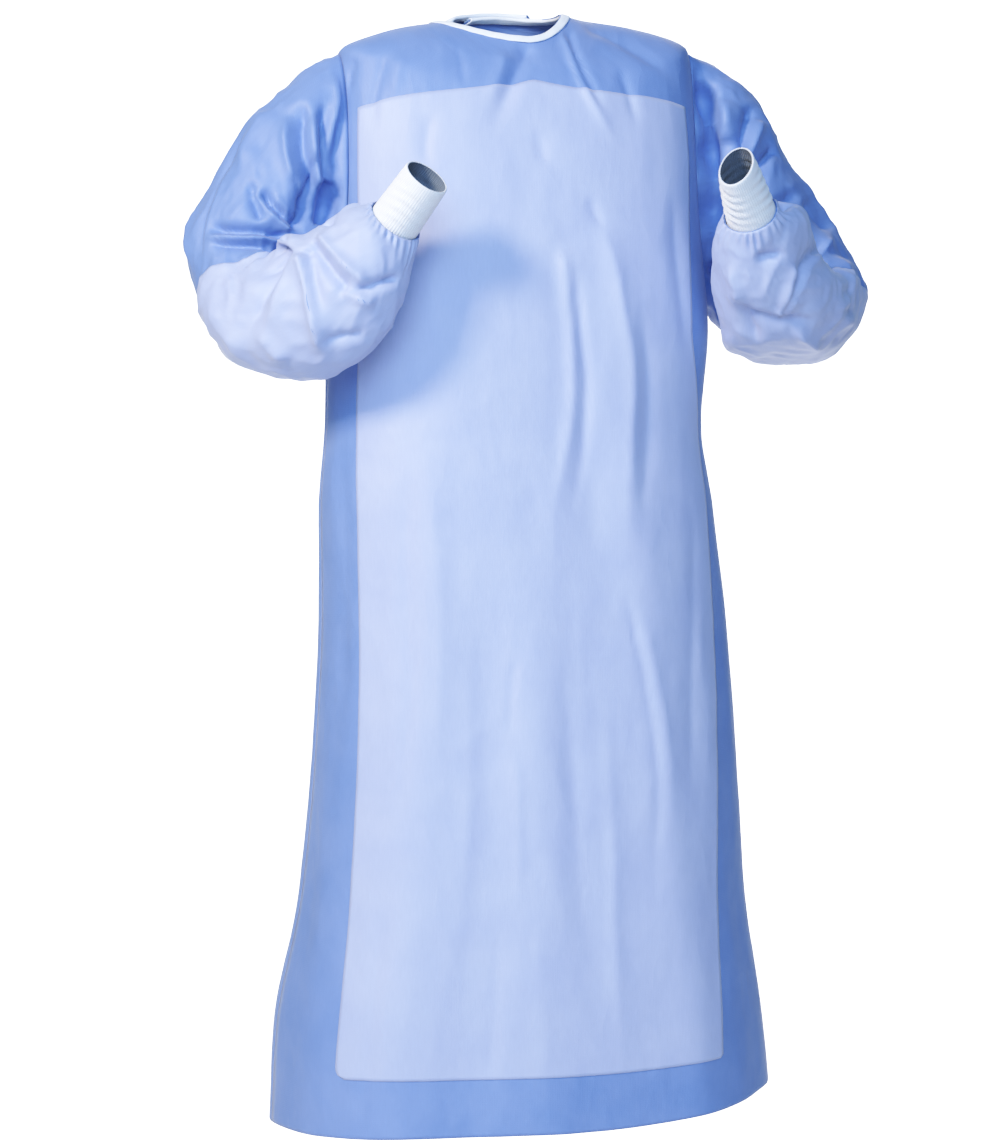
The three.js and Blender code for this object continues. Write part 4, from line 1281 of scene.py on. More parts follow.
RIGHT_SLEEVE_CREASES = creases(Seen.PHOTO, [
    (((303, 100), (301, 140), (308, 172), (320, 200)), -8.2, 7, 9, 0.8, 0.2, 0.2),
    (((288, 112), (286, 146), (292, 176), (304, 206)), 5.4, 8, 8, 0.8, 0.25, 0.25),
    (((326, 98), (324, 140), (328, 170), (330, 196)), -7.5, 6, 7, 0.8, 0.25, 0.2),
    (((314, 108), (315, 146), (318, 172), (326, 198)), 5.7, 6, 6, 0.8, 0.25, 0.2),
    (((346, 110), (340, 146), (340, 176), (338, 204)), -7.5, 6, 8, 0.7, 0.25, 0.2),
    (((336, 72), (338, 100), (333, 128), (332, 160)), 5.1, 6, 6, 0.8, 0.2, 0.4),
    (((249, 180), (254, 200), (262, 222)), -6.0, 6, 6, 0.8, 0.3, 0.2),
    (((258, 190), (278, 210), (300, 226)), -8.6, 6, 6, 0.9, 0.2, 0.1),
    (((250, 188), (270, 212), (292, 232)), 5.1, 5, 5, 0.9, 0.2, 0.1),
    (((290, 172), (300, 194), (308, 214)), -6.3, 5, 6, 0.9, 0.3, 0.1),
    (((204, 226), (232, 229), (262, 230), (290, 238)), -9.0, 5, 7, 0.8, 0.2, 0.1),
    (((316, 150), (312, 180), (304, 212), (292, 232)), -8.0, 6, 7, 0.8, 0.2, 0.1),
    (((272, 196), (284, 208), (297, 228)), 5.0, 5, 5, 0.9, 0.2, 0.1),
    (((200, 236), (232, 237), (262, 238), (288, 243)), 5.1, 4, 4, 0.9, 0.2, 0.1),
    (((206, 243), (232, 244), (260, 245), (288, 248)), -6.6, 4, 5, 0.8, 0.2, 0.1),
    (((332, 180), (328, 202), (322, 226)), -12.0, 8, 8, 0.6, 0.3, 0.1),
    (((272, 104), (252, 138), (238, 172)), 3.9, 12, 12, 0.6, 0.3, 0.3),
    (((290, 246), (276, 262), (258, 280)), -5.1, 6, 6, 0.8, 0.15, 0.4),
    (((290, 248), (268, 290), (244, 344)), -5.4, 8, 10, 0.7, 0.1, 0.4),
    (((296, 250), (280, 296), (262, 350)), 4.8, 9, 9, 0.7, 0.1, 0.4),
    (((300, 250), (306, 276), (314, 312), (323, 360)), 8.4, 11, 6, 0.9, 0.1, 0.3),
    (((306, 246), (316, 284), (326, 322)), -5.7, 6, 8, 0.7, 0.1, 0.4),
    (((312, 240), (328, 266), (344, 284), (358, 302)), -7.5, 6, 6, 0.9, 0.1, 0.3),
    (((318, 236), (338, 258), (358, 276), (376, 290)), 5.4, 7, 6, 0.8, 0.1, 0.3),
    (((403, 277), (386, 281), (366, 287), (350, 292)), -5.7, 5, 5, 0.9, 0.2, 0.3),
    (((342, 288), (358, 298), (378, 304)), 5.1, 5, 5, 0.9, 0.2, 0.3),
    (((318, 340), (340, 337), (366, 333)), -4.8, 5, 6, 0.8, 0.3, 0.3),
    (((262, 328), (272, 346), (290, 362)), 4.5, 7, 7, 0.7, 0.3, 0.3),
    (((210, 300), (224, 330), (250, 356)), 4.5, 12, 12, 0.6, 0.3, 0.3),
]) + creases(Seen.RIGHT, [
    (((-60, 120), (-20, 200), (20, 280)), 6.0, 10, 10, 0.7, 0.3, 0.3),
    (((10, 90), (10, 180), (40, 270)), -6.0, 10, 10, 0.7, 0.3, 0.3),
    (((60, 200), (90, 270), (140, 320)), 6.0, 10, 8, 0.8, 0.2, 0.3),
]) + creases(Seen.BACK, [
    (((290, 110), (280, 190), (260, 280)), -6.0, 9, 10, 0.7, 0.3, 0.3),
    (((320, 140), (312, 220), (286, 310)), 6.0, 9, 9, 0.7, 0.3, 0.3),
    (((340, 220), (310, 280), (270, 330)), -6.0, 8, 8, 0.8, 0.3, 0.3),
])

LEFT_SLEEVE_CREASES = creases(Seen.PHOTO, [
    (((690, 62), (704, 100), (714, 146), (718, 200)), -10.0, 8, 9, 0.7, 0.1, 0.2),
    (((730, 100), (722, 140), (722, 190)), 5.0, 9, 8, 0.7, 0.2, 0.2),
    (((676, 60), (688, 104), (700, 150)), 5.8, 7, 7, 0.8, 0.2, 0.2),
    (((716, 76), (724, 110), (734, 146)), 4.8, 9, 7, 0.7, 0.3, 0.2),
    (((753, 104), (746, 128), (740, 152)), -8.0, 6, 7, 0.8, 0.2, 0.1),
    (((762, 118), (754, 140), (746, 160)), 5.4, 6, 6, 0.8, 0.2, 0.1),
    (((776, 148), (766, 158), (756, 168)), -8.0, 4, 5, 0.9, 0.1, 0.1),
    (((796, 190), (782, 206), (770, 222)), -5.8, 7, 7, 0.7, 0.2, 0.2),
    (((804, 198), (816, 214), (832, 230)), -5.4, 6, 6, 0.8, 0.2, 0.2),
    (((752, 255), (768, 256), (788, 252)), -5.1, 5, 5, 0.8, 0.3, 0.3),
    (((824, 240), (806, 270), (794, 296), (781, 320)), -9.0, 13, 10, 0.7, 0.2, 0.1),
    (((834, 232), (816, 262), (800, 292), (784, 320)), 6.4, 8, 8, 0.9, 0.2, 0.1),
    (((798, 262), (790, 290), (779, 320)), 5.8, 9, 6, 0.9, 0.2, 0.1),
    (((738, 311), (760, 317), (782, 321), (818, 317)), -5.8, 5, 6, 0.9, 0.2, 0.3),
    (((738, 300), (748, 322), (762, 344)), -5.4, 6, 6, 0.8, 0.3, 0.3),
    (((843, 282), (849, 300), (846, 322)), -5.4, 7, 7, 0.7, 0.3, 0.3),
    (((830, 250), (846, 276), (850, 310), (836, 340)), 5.1, 8, 8, 0.8, 0.3, 0.3),
    (((730, 264), (738, 286), (740, 306)), 4.8, 8, 8, 0.7, 0.3, 0.3),
    (((790, 328), (810, 340), (822, 350)), 4.8, 6, 6, 0.8, 0.3, 0.3),
]) + creases(Seen.LEFT, [
    (((-20, 120), (-10, 200), (-40, 270)), 6.4, 10, 10, 0.7, 0.3, 0.3),
    (((20, 100), (30, 190), (0, 280)), -6.4, 10, 10, 0.7, 0.3, 0.3),
    (((-60, 220), (-100, 280), (-150, 310)), 6.4, 10, 8, 0.8, 0.2, 0.3),
]) + creases(Seen.BACK, [
    (((-300, 110), (-300, 190), (-280, 280)), -6.4, 9, 10, 0.7, 0.3, 0.3),
    (((-340, 150), (-340, 230), (-320, 310)), 6.4, 9, 9, 0.7, 0.3, 0.3),
    (((-380, 230), (-350, 290), (-310, 330)), -6.4, 8, 8, 0.8, 0.3, 0.3),
])


@dataclass
class Sleeve:
    """A set-in sleeve with its light outer layer and the gathers where the cuff takes it in.

    cut and layer_cut are the widest way round, the longest way along and the area, in metres; they are not
    used.
    """

    name: str
    side: int
    rows: dict[str, np.ndarray]
    cuff: CuffForm
    layer_start: tuple[float, float, float, float]
    creases: tuple[Crease, ...]
    shoves: tuple[Shove, ...]
    cut: tuple[float, float, float]
    layer_cut: tuple[float, float, float]
    turns: int = 180
    stretch_steps: int = 11
    cloth: float = 0.8
    film: float = 0.5
    film_gap: float = 0.9
    gathers: int = 24
    strength: float = 1.8
    dents: Crumple = Crumple(1.5, 3.6, 40.0, 1.25)
    seed: int = 21
    flat_round: float = 430.0
    shoulder_fade: float = 15.0
    wrist_fade: float = 24.0
    wrist_keep: float = 0.1
    cuff_gap: float = 0.2
    row_margin: float = 1.001
    gather_shift: tuple[float, float, float] = (0.9, 3, 1.0)
    gather_drift: tuple[float, float, float] = (0.5, 7, 0.0)
    gather_size: tuple[float, float, float] = (0.5, 5, 2.0)
    gather_reach: float = 11.0
    gather_reach_wave: tuple[float, float, float] = (6.0, 4, 0.5)
    gather_start: float = 5.0
    gather_edge: float = 4.0
    gather_lift_all: float = 0.4
    gather_height: float = 1.2

    @property
    def angles(self) -> np.ndarray:
        """The angles round the sleeve, from its outer side."""
        return np.linspace(0.0, TURN, self.turns, endpoint=False)

    def armhole_ring(self, turn: np.ndarray) -> np.ndarray:
        """Place the sleeve's first ring on the armhole's edge."""
        reach = np.where(turn <= math.pi, ARMHOLE.front, -ARMHOLE.back)
        across = self.side * (1.0 - reach * np.abs(np.sin(turn)))
        down = ARMHOLE.middle - np.cos(turn) * (ARMHOLE.middle - ARMHOLE.top)
        return FORM.cloth(across, down)[0]

    def rings(self) -> np.ndarray:
        """Place the sleeve's main rings, from the armhole to the cuff.

        Returns:
            One ring of points for each row of the sleeve's table, with the armhole and the wrist.
        """
        turn = self.angles
        outer, inner = (
            np.stack([self.rows[f"{axis}_{line}"] for axis in "xyz"], axis=-1) for line in ("out", "in")
        )
        middle = (outer + inner) / 2
        across = np.array([0.0, -1.0, 0.0])
        rings = [self.armhole_ring(turn)]
        for index in range(len(middle)):
            run = middle[min(index + 1, len(middle) - 1)] - middle[max(index - 1, 0)]
            way = np.cross(inner[index] - outer[index], run)
            way /= np.linalg.norm(way)
            across = way if way @ across > 0 else -way
            reach = outer[index] - middle[index]
            half = across * self.rows["half"][index]
            rings.append(middle[index] + np.outer(np.cos(turn), reach) + np.outer(np.sin(turn), half))
        rings.append(self.wrist_ring(turn, outer[-1] - middle[-1], across))
        return np.array(rings)

    def wrist_ring(self, turn: np.ndarray, outward: np.ndarray, across: np.ndarray) -> np.ndarray:
        """Place the sleeve's last ring round the cuff's base."""
        axis, level, up = self.cuff.directions()
        reach = outward - axis * (outward @ axis)
        reach /= np.linalg.norm(reach)
        side = np.cross(axis, reach)
        side = side if side @ across > 0 else -side
        way = np.outer(np.cos(turn), reach) + np.outer(np.sin(turn), side)
        wide, tall = np.array(self.cuff.base_half) + self.cloth + self.cuff_gap
        ring = np.outer(wide * (way @ level), level) + np.outer(tall * (way @ up), up)
        return np.array(self.cuff.base) + ring

    def grid(self) -> tuple[ClothGrid, np.ndarray]:
        """Lay out the sleeve.

        Returns:
            The sheet as a tube, and each row's place among the main rings.
        """
        points = smooth_path(self.rings(), self.stretch_steps)
        places = np.arange(len(points)) / self.stretch_steps
        for shove in self.shoves:
            points = points + shove.shift(points, places)
        normals = grid_normals(points, True, -self.side)
        around = np.linspace(0.0, self.flat_round, self.turns, endpoint=False)
        runs = np.linalg.norm(np.diff(points, axis=0), axis=-1).mean(axis=1)
        along = np.concatenate([[0.0], np.cumsum(runs)])
        flat = np.stack(np.broadcast_arrays(around[None, :], -along[:, None]), axis=-1)
        grid = ClothGrid(points, normals, flat, True)
        to_wrist = along[-1] - along
        near_wrist = self.wrist_keep + (1 - self.wrist_keep) * smoothstep(to_wrist, 0.0, self.wrist_fade)
        keep = (smoothstep(along, 0.0, self.shoulder_fade) * near_wrist)[:, None]
        lift = creased(grid, self.creases, self.dents, self.seed + self.side, keep, self.strength)
        lift += self.gather_lift(to_wrist)
        return grid.moved(lift), places

    def layer_grid(self, grid: ClothGrid, places: np.ndarray) -> ClothGrid:
        """Lay the outer layer on the sleeve, from its own slanting start to the wrist.

        Args:
            grid: The sleeve.
            places: Each row's place among the main rings.

        Returns:
            The layer's sheet, on the sleeve's face.
        """
        turn = self.angles
        quarters = np.arange(5) * math.pi / 2
        starts = np.array([*self.layer_start, self.layer_start[0]])
        index = np.clip(np.searchsorted(quarters, turn, side="right") - 1, 0, 3)
        rise = smoothstep((turn - quarters[index]) / QUARTER_TURN)
        start = starts[index] + (starts[index + 1] - starts[index]) * rise
        count = int((places[-1] - start.min()) * self.stretch_steps)
        wanted = start + (places[-1] - start) * np.linspace(0.0, 1.0, count)[:, None]
        row = np.clip(wanted * self.stretch_steps, 0, len(places) - self.row_margin)
        low = row.astype(int)
        columns = np.broadcast_to(np.arange(self.turns), low.shape)
        return grid.between(low, columns, (row - low)[..., None], (1, 0))

    def gather_lift(self, to_wrist: np.ndarray) -> np.ndarray:
        """Small uneven pleats that fade away from the cuff's seam."""
        turn = self.angles
        phase = wave(turn, *self.gather_shift) + wave(turn, *self.gather_drift)
        size = 1.0 + wave(turn, *self.gather_size)
        reach = self.gather_reach + wave(turn, *self.gather_reach_wave)
        from_seam = (to_wrist[:, None] - self.gather_start) / reach
        fade = np.exp(-(from_seam**2)) * smoothstep(to_wrist, 0.0, self.gather_edge)[:, None]
        return (self.gather_lift_all + self.gather_height * size * np.cos(self.gathers * turn + phase)) * fade

    def build(self, finishes: Finishes) -> None:
        """Make and dress the sleeve and its outer layer."""
        grid, places = self.grid()
        whole = grid.mesh(f"gown_sleeve_{self.name}", self.cloth)
        dress(
            whole, f"sleeve_{self.name}", finishes.blue,
        )
        outer = self.layer_grid(grid, places).moved(self.film_gap + self.film)
        layer = outer.mesh(f"gown_sleeve_reinforcement_{self.name}", self.film)
        dress(
            layer, f"sleeve_reinforcement_{self.name}", finishes.light,
        )


@dataclass
class Cuff:
    """A white rib-knit cuff, an open tube."""

    name: str
    form: CuffForm
    wrinkles: float
    ribs: int = 56
    per_rib: int = 4
    rows: int = 36
    rib_height: float = 0.28
    rib_level: float = 0.3
    wrinkle_length: float = 5.6
    wrinkle_slant: tuple[float, float, float] = (1.1, 1, 0.6)
    wrinkle_drift: tuple[float, float, float] = (0.35, 3, 0.0)
    wrinkle_share: float = 0.6
    wrinkle_size: tuple[float, float, float] = (0.4, 2, 0.4)
    wrinkle_start: tuple[float, float] = (0.05, 0.3)
    wrinkle_end: tuple[float, float] = (0.0, 0.3)
    rim_turn: float = 0.7
    rim_length: float = 1.4
    flat_round: float = 165.0
    wall_play: float = 0.2

    def build(self, finishes: Finishes) -> None:
        """Make and dress the cuff."""
        axis, side, up = self.form.directions()
        end = np.array(self.form.end)
        start = np.array(self.form.base) - axis * self.form.lap
        share = np.linspace(0.0, 1.0, self.rows)[:, None]
        turn = np.linspace(0.0, TURN, self.ribs * self.per_rib, endpoint=False)[None, :]
        length = np.linalg.norm(end - start)
        radius = self.rib_height * np.cos(self.ribs * turn) - self.rib_level
        phase = share * length / self.wrinkle_length + wave(turn, *self.wrinkle_slant)
        phase = phase + wave(turn, *self.wrinkle_drift)
        size = self.wrinkle_share + wave(turn, *self.wrinkle_size)
        grown = self.wrinkles * np.sin(phase * math.pi) * smoothstep(share, *self.wrinkle_start)
        radius = radius + grown * size * smoothstep(1 - share, *self.wrinkle_end)
        radius = radius - self.rim_turn * np.exp(-(((share - 1) * length / self.rim_length) ** 2))
        low, high = np.array(self.form.base_half), np.array(self.form.end_half)
        half = low + (high - low) * share[..., None]
        middle = start + share[..., None] * (end - start)
        level, upright = np.cos(turn)[..., None] * side, np.sin(turn)[..., None] * up
        ring = level + upright
        points = middle + (level * half[..., :1] + upright * half[..., 1:]) + radius[..., None] * ring
        around = turn / TURN * self.flat_round
        flat = np.stack(np.broadcast_arrays(around, share * length), axis=-1)
        grid = ClothGrid(points, np.broadcast_to(ring, points.shape), flat, True)
        # The cuff's inner face takes the dark painted shade, for the shadow inside the cuff
        obj = grid.mesh(f"gown_cuff_{self.name}", self.form.knit - self.wall_play, True)
        dress(obj, f"cuff_{self.name}", finishes.knit, finishes.knit_inside_painted_shade)


@dataclass
class NeckBinding:
    """White tape folded over the neck edge, from the under back round the front to the flap."""

    width: float = 11.0
    wall: float = 1.0
    gap: float = 0.7
    cloth: float = 1.5
    rounding: int = 5
    lip: tuple[tuple[float, float], ...] = ((0.7, 0.2), (0.1, 1.2), (0.0, 2.6), (-0.15, 5.0))
    arch_drop: float = 1.0
    arch_share: float = 0.9
    columns: int = 420
    furthest: float = 1.15
    pucker: float = 0.18
    pucker_length: float = 3.4
    pucker_drift: float = 0.8
    drift_length: float = 21.0
    fold_line: float = 0.7
    flat_step: float = 1.6
    flat_width: float = 0.027

    @property
    def drop(self) -> float:
        """How far down the cloth the tape's lower edge is."""
        return self.width - self.wall - self.gap

    def profile(self) -> np.ndarray:
        """Outline of the folded tape: out from the cloth's face, and up from the lower edge."""
        out, inn = self.gap + self.wall, -self.cloth - self.gap - self.wall
        middle, half = (out + inn) / 2, (out - inn) / 2
        turn = np.linspace(0.0, math.pi, 2 * self.rounding + 1)
        rise = self.drop - self.arch_drop + (half * self.arch_share) * np.sin(turn)
        arch = np.stack([middle + half * np.cos(turn), rise], axis=-1)
        front = np.array([[out - inwards, up] for inwards, up in self.lip])
        back = front[::-1] * np.array([-1.0, 1.0]) + np.array([2 * middle, 0.0])
        return np.vstack([front, arch, back])

    def build(self, finishes: Finishes, body: GownBody) -> None:
        """Make and dress the binding."""
        shares = np.linspace(0.0, 1.0, self.columns)
        across = body.under_edge[0] + (body.flap_edge[0] - body.under_edge[0]) * shares
        bottom, low = FORM.cloth(across, np.full(across.shape, self.drop))
        edge, high = FORM.cloth(across, np.zeros(across.shape))
        lift = np.where(across < 0, body.lift_of_flap(across), 0.0)
        rise = edge - bottom
        rise /= np.linalg.norm(rise, axis=-1, keepdims=True)
        outline = self.profile()
        share = np.clip(outline[:, 1] / self.drop, 0.0, self.furthest)[None, :, None]
        normal = low[:, None] * (1 - share) + high[:, None] * share
        foot = bottom[:, None] + rise[:, None] * outline[None, :, 1:2]
        run = np.concatenate([[0.0], np.cumsum(np.linalg.norm(np.diff(edge, axis=0), axis=-1))])
        way_out = np.sign(outline[None, :, 0] + self.fold_line)
        drift = self.pucker_drift * np.sin(run / self.drift_length)
        pucker = self.pucker * np.sin(run / self.pucker_length + drift)[:, None] * way_out
        points = foot + normal * (outline[None, :, 0] + lift[:, None] + pucker)[..., None]
        steps = np.arange(len(outline))[None, :] * self.flat_step
        flat = np.stack(np.broadcast_arrays(run[:, None], steps), axis=-1)
        normals = np.broadcast_to(normal, points.shape) * way_out[..., None]
        obj = ClothGrid(points, normals, flat).mesh("gown_neck_binding", self.wall)
        dress(obj, "neck_binding", finishes.tape)


@dataclass(frozen=True)
class Strap:
    """A flat strap laid on the back, along places round the body and ways down it.

    lifts are how far its outer face stands off the cloth under it, one for each place.
    """

    places: tuple[tuple[float, float], ...]
    lifts: tuple[float, ...]
    width: float
    thickness: float = 1.0
    steps: int = 12
    columns: int = 9
    step_down: tuple[float, float] = (3.0, 20.0)

    def grid(self, body: GownBody) -> ClothGrid:
        """Lay the strap out on the creased back.

        Args:
            body: The body whose backs it lies on.

        Returns:
            The strap's sheet.
        """
        path = smooth_path(np.array(self.places, dtype=float), self.steps)
        lifts = smooth_path(np.array(self.lifts, dtype=float)[:, None], self.steps)
        scale = float(FORM.quarter(1.5, path[:, 1].mean()))
        plane = path * np.array([scale, 1.0])
        runs = np.gradient(plane, axis=0)
        side = np.stack([-runs[:, 1], runs[:, 0]], axis=-1) / np.linalg.norm(runs, axis=1, keepdims=True)
        offsets = np.linspace(-0.5, 0.5, self.columns) * self.width
        spread = plane[:, None] + side[:, None] * offsets[None, :, None]
        across, down = spread[..., 0] / scale, spread[..., 1]
        points, normals = FORM.cloth(across, down)
        along = np.concatenate([[0.0], np.cumsum(np.linalg.norm(np.diff(plane, axis=0), axis=1))])
        flat = np.stack(np.broadcast_arrays(offsets[None, :], along[:, None]), axis=-1)
        grid = ClothGrid(points, normals, flat)
        edge = np.abs(body.flap_edge[0] + (body.flap_edge[1] - body.flap_edge[0]) * down / FORM.length)
        past = smoothstep((np.abs(across) - edge) * scale, *self.step_down)
        lift = body.back_lift(grid, down) + body.flap_lift * (1.0 - past)
        return grid.moved(lift + lifts + self.thickness)


@dataclass(frozen=True)
class Knot:
    """The tie wrapped once round both ties where they cross, drawn in at its middle."""

    across: float
    down: float
    wide: float = 30.0
    tall: float = 29.0
    thick: float = 11.0
    lift: float = 6.0
    turns: int = 48
    columns: int = 15
    pinch: float = 0.72
    pinch_ends: float = 0.28
    twist: tuple[float, int, int] = (0.03, 9, 4)
    slant: float = 3.0
    ruck: tuple[float, int] = (0.8, 5)

    def grid(self, body: GownBody) -> ClothGrid:
        """Lay out the wrapped band as a short tube."""
        place, normal = FORM.cloth(np.array([[self.across]]), np.array([[self.down]]))
        flat = np.zeros((1, 1, 2))
        lift = body.back_lift(ClothGrid(place, normal, flat), np.array([[self.down]]))
        out = normal[0, 0]
        middle = place[0, 0] + out * (float(lift[0, 0]) + self.lift)
        level = np.cross(UP, out)
        level /= np.linalg.norm(level)
        up = np.cross(out, level)
        share = np.linspace(-1.0, 1.0, self.columns)[:, None, None]
        turn = np.linspace(0.0, TURN, self.turns, endpoint=False)[None, :, None]
        depth, waves, along = self.twist
        pinch = self.pinch + self.pinch_ends * share**2 + depth * np.cos(waves * turn + along * share)
        ring = np.cos(turn) * up * self.tall / 2 + np.sin(turn) * out * self.thick / 2
        slant = up * share * self.slant + out * self.ruck[0] * np.cos(self.ruck[1] * turn)
        points = middle + level * share * self.wide / 2 + ring * pinch + slant
        normals = np.broadcast_to(np.cos(turn) * up + np.sin(turn) * out, points.shape)
        around = turn[..., 0] / TURN * math.pi * (self.tall + self.thick) / 2
        places = np.stack(np.broadcast_arrays(around, share[..., 0] * self.wide / 2), axis=-1)
        return ClothGrid(points, normals, places, True)


def joined(objects: list[bpy.types.Object]) -> bpy.types.Object:
    """Join meshes into the first one."""
    bpy.ops.object.select_all(action="DESELECT")
    for obj in objects:
        obj.select_set(True)
    bpy.context.view_layer.objects.active = objects[0]
    bpy.ops.object.join()
    return objects[0]


@dataclass
class Closures:
    """What holds the wrap closed at the back: the neck tab, and the two ties knotted together."""

    tab_width: float = 24.0
    tie_width: float = 26.0
    knot: Knot = Knot(-2.64, 452.0)
    tab: tuple[tuple[float, float], ...] = ((-2.16, 27), (-2.3, 27), (-2.46, 27.4), (-2.62, 27))
    flap_run: tuple[tuple[float, float], ...] = ((-2.3, 452), (-2.42, 453), (-2.54, 451), (-2.64, 452))
    side_run: tuple[tuple[float, float], ...] = ((-2.88, 452), (-2.80, 453), (-2.72, 451), (-2.64, 452))
    flap_tail: tuple[tuple[float, float], ...] = (
        (-2.62, 458), (-2.60, 500), (-2.575, 560), (-2.57, 620), (-2.53, 690))
    side_tail: tuple[tuple[float, float], ...] = ((-2.66, 458), (-2.685, 500), (-2.70, 560), (-2.735, 638))

    def build(self, finishes: Finishes, body: GownBody) -> None:
        """Make and dress the tab and the ties."""
        tab = Strap(self.tab, (0.5, 0.5, 0.6, 0.5), self.tab_width)
        self.finish("gown_neck_tab", "neck_tab", [tab], None, body, finishes.tape, "white_tape")
        flap = [
            Strap(self.flap_run, (0.5, 1.0, 3.4, 4.0), self.tie_width),
            Strap(self.flap_tail, (6.0, 4.6, 6.4, 4.0, 5.6), self.tie_width),
        ]
        blue, slot = finishes.blue, "blue_cloth"
        self.finish("gown_waist_tie_flap", "waist_tie_flap", flap, self.knot, body, blue, slot)
        side = [
            Strap(self.side_run, (0.5, 0.6, 0.8, 1.2), self.tie_width),
            Strap(self.side_tail, (2.4, 1.6, 2.8, 1.4), self.tie_width),
        ]
        self.finish("gown_waist_tie_side", "waist_tie_side", side, None, body, blue, slot)

    @staticmethod
    def finish(name: str, node: str, straps: list[Strap], knot: Knot | None, body: GownBody,
               material: bpy.types.Material, slot: str) -> None:
        """Make one closure from its straps and dress it.

        Args:
            name: The piece's name.
            node: The frame's node that it replaces.
            straps: Its stretches.
            knot: The knot that it forms, where it does.
            body: The body whose backs it lies on.
            material: Its material.
            slot: Not used.
        """
        grids = [strap.grid(body) for strap in straps]
        objects = [grid.mesh(name, strap.thickness) for grid, strap in zip(grids, straps)]
        length = sum(float(np.ptp(grid.flat[..., 1])) for grid in grids)
        if knot is not None:
            objects.append(knot.grid(body).mesh(name, straps[0].thickness))
            length += math.pi * (knot.tall + knot.thick) / 2
        dress(joined(objects), node, material)


SLEEVE_COLUMNS = "x_out y_out z_out x_in y_in z_in half"
RIGHT_SLEEVE_ROWS = table(
    SLEEVE_COLUMNS,
    [
        (-240, 6, -41, -224, 5, -298, 72),
        (-282, 8, -80, -236, 3, -305, 70),
        (-319, 10, -130, -246, -5, -310, 68),
        (-346, 14, -182, -254, -17, -313, 66),
        (-365, 18, -232, -260, -31, -314, 63),
        (-359, 10, -282, -264, -48, -308, 61),
        (-344, -8, -328, -265, -65, -297, 60),
        (-316, -38, -363, -260, -80, -278, 59),
        (-282, -80, -384, -251, -94, -257, 58),
        (-246, -124, -386, -239, -107, -237, 57),
        (-214, -158, -367, -227, -122, -221, 54),
        (-189, -180, -338, -215, -138, -210, 48),
        (-172, -190, -304, -208, -151, -206, 41),
        (-162, -188, -277, -203, -163, -210, 35),
    ],
)
LEFT_SLEEVE_ROWS = table(
    SLEEVE_COLUMNS,
    [
        (250, 4, -19, 235, 5, -294, 66),
        (292, 6, -54, 243, 3, -308, 68),
        (318, 10, -102, 252, -5, -316, 70),
        (349, 18, -152, 260, -17, -320, 70),
        (383, 22, -203, 267, -32, -321, 68),
        (403, 16, -251, 271, -49, -316, 66),
        (415, 2, -297, 272, -66, -306, 66),
        (385, -26, -335, 268, -83, -287, 67),
        (347, -66, -350, 260, -97, -263, 68),
        (308, -110, -350, 250, -112, -239, 67),
        (276, -148, -337, 241, -127, -216, 62),
        (251, -178, -312, 233, -145, -203, 54),
        (231, -200, -284, 226, -162, -196, 46),
        (217, -214, -256, 222, -178, -194, 38),
    ],
)
RIGHT_CUFF = CuffForm((-172, -178, -225), (-146, -216, -182))
LEFT_CUFF = CuffForm((212, -211, -209), (181, -254, -165), (28.0, 28.0), (19.0, 30.0))
RIGHT_SHOVES = (
    Shove((280, 268), (0, -24, 0), 30),
    Shove((264, 270), (14, -14, 0), 22),
    Shove((236, 352), (-5, 3, 0), 18),
    Shove((326, 208), (0, 0, 20), 20, (0.0, 6.0)),
)
LEFT_SHOVES = (
    Shove((800, 212), (15, -12, 0), 26, (9.0, 14.0)),
    Shove((733, 345), (-9, 3, 0), 17),
    Shove((788, 372), (0, -9, 0), 30),
    Shove((868, 286), (5, 0, 0), 12),
    Shove((704, 100), (0, 0, 24), 18, (0.0, 7.0)),
    Shove((708, 150), (0, 0, 36), 20, (0.0, 7.0)),
    Shove((712, 205), (0, 0, 40), 22, (0.0, 7.0)),
    Shove((716, 265), (0, 0, 44), 24, (0.0, 7.0)),
)


@dataclass(frozen=True)
class Lamp:
    """A soft square light. Its place and what it aims at are in metres from the gown's middle."""

    name: str
    left: float
    nearer: float
    up: float
    aim: float
    size: float
    power: float
    colour: tuple[float, float, float]
    spread: float = 110.0

    def add(self) -> None:
        """Add the light to the scene."""
        right, ahead = VIEW.directions()
        middle = np.array(VIEW.middle) * MM
        place = middle - right * self.left - ahead * self.nearer + UP * self.up
        way = middle + UP * self.aim - place
        data = bpy.data.lights.new(self.name, "AREA")
        data.size = self.size
        data.energy = self.power
        data.color = self.colour
        data.spread = math.radians(self.spread)
        light = bpy.data.objects.new(self.name, data)
        light.location = place
        tilt = math.atan2(math.hypot(way[0], way[1]), -way[2])
        light.rotation_euler = (tilt, 0.0, math.atan2(-way[0], way[1]))
        bpy.context.scene.collection.objects.link(light)


KEY_LAMP = Lamp("key_light", 2.05, 2.55, 1.85, 0.32, 0.7, 64.0, (1.0, 0.89, 0.74))
FILL_LAMP = Lamp("fill_light", 0.1, 3.2, 1.2, 0.1, 2.0, 66.0, (0.42, 0.60, 0.90))


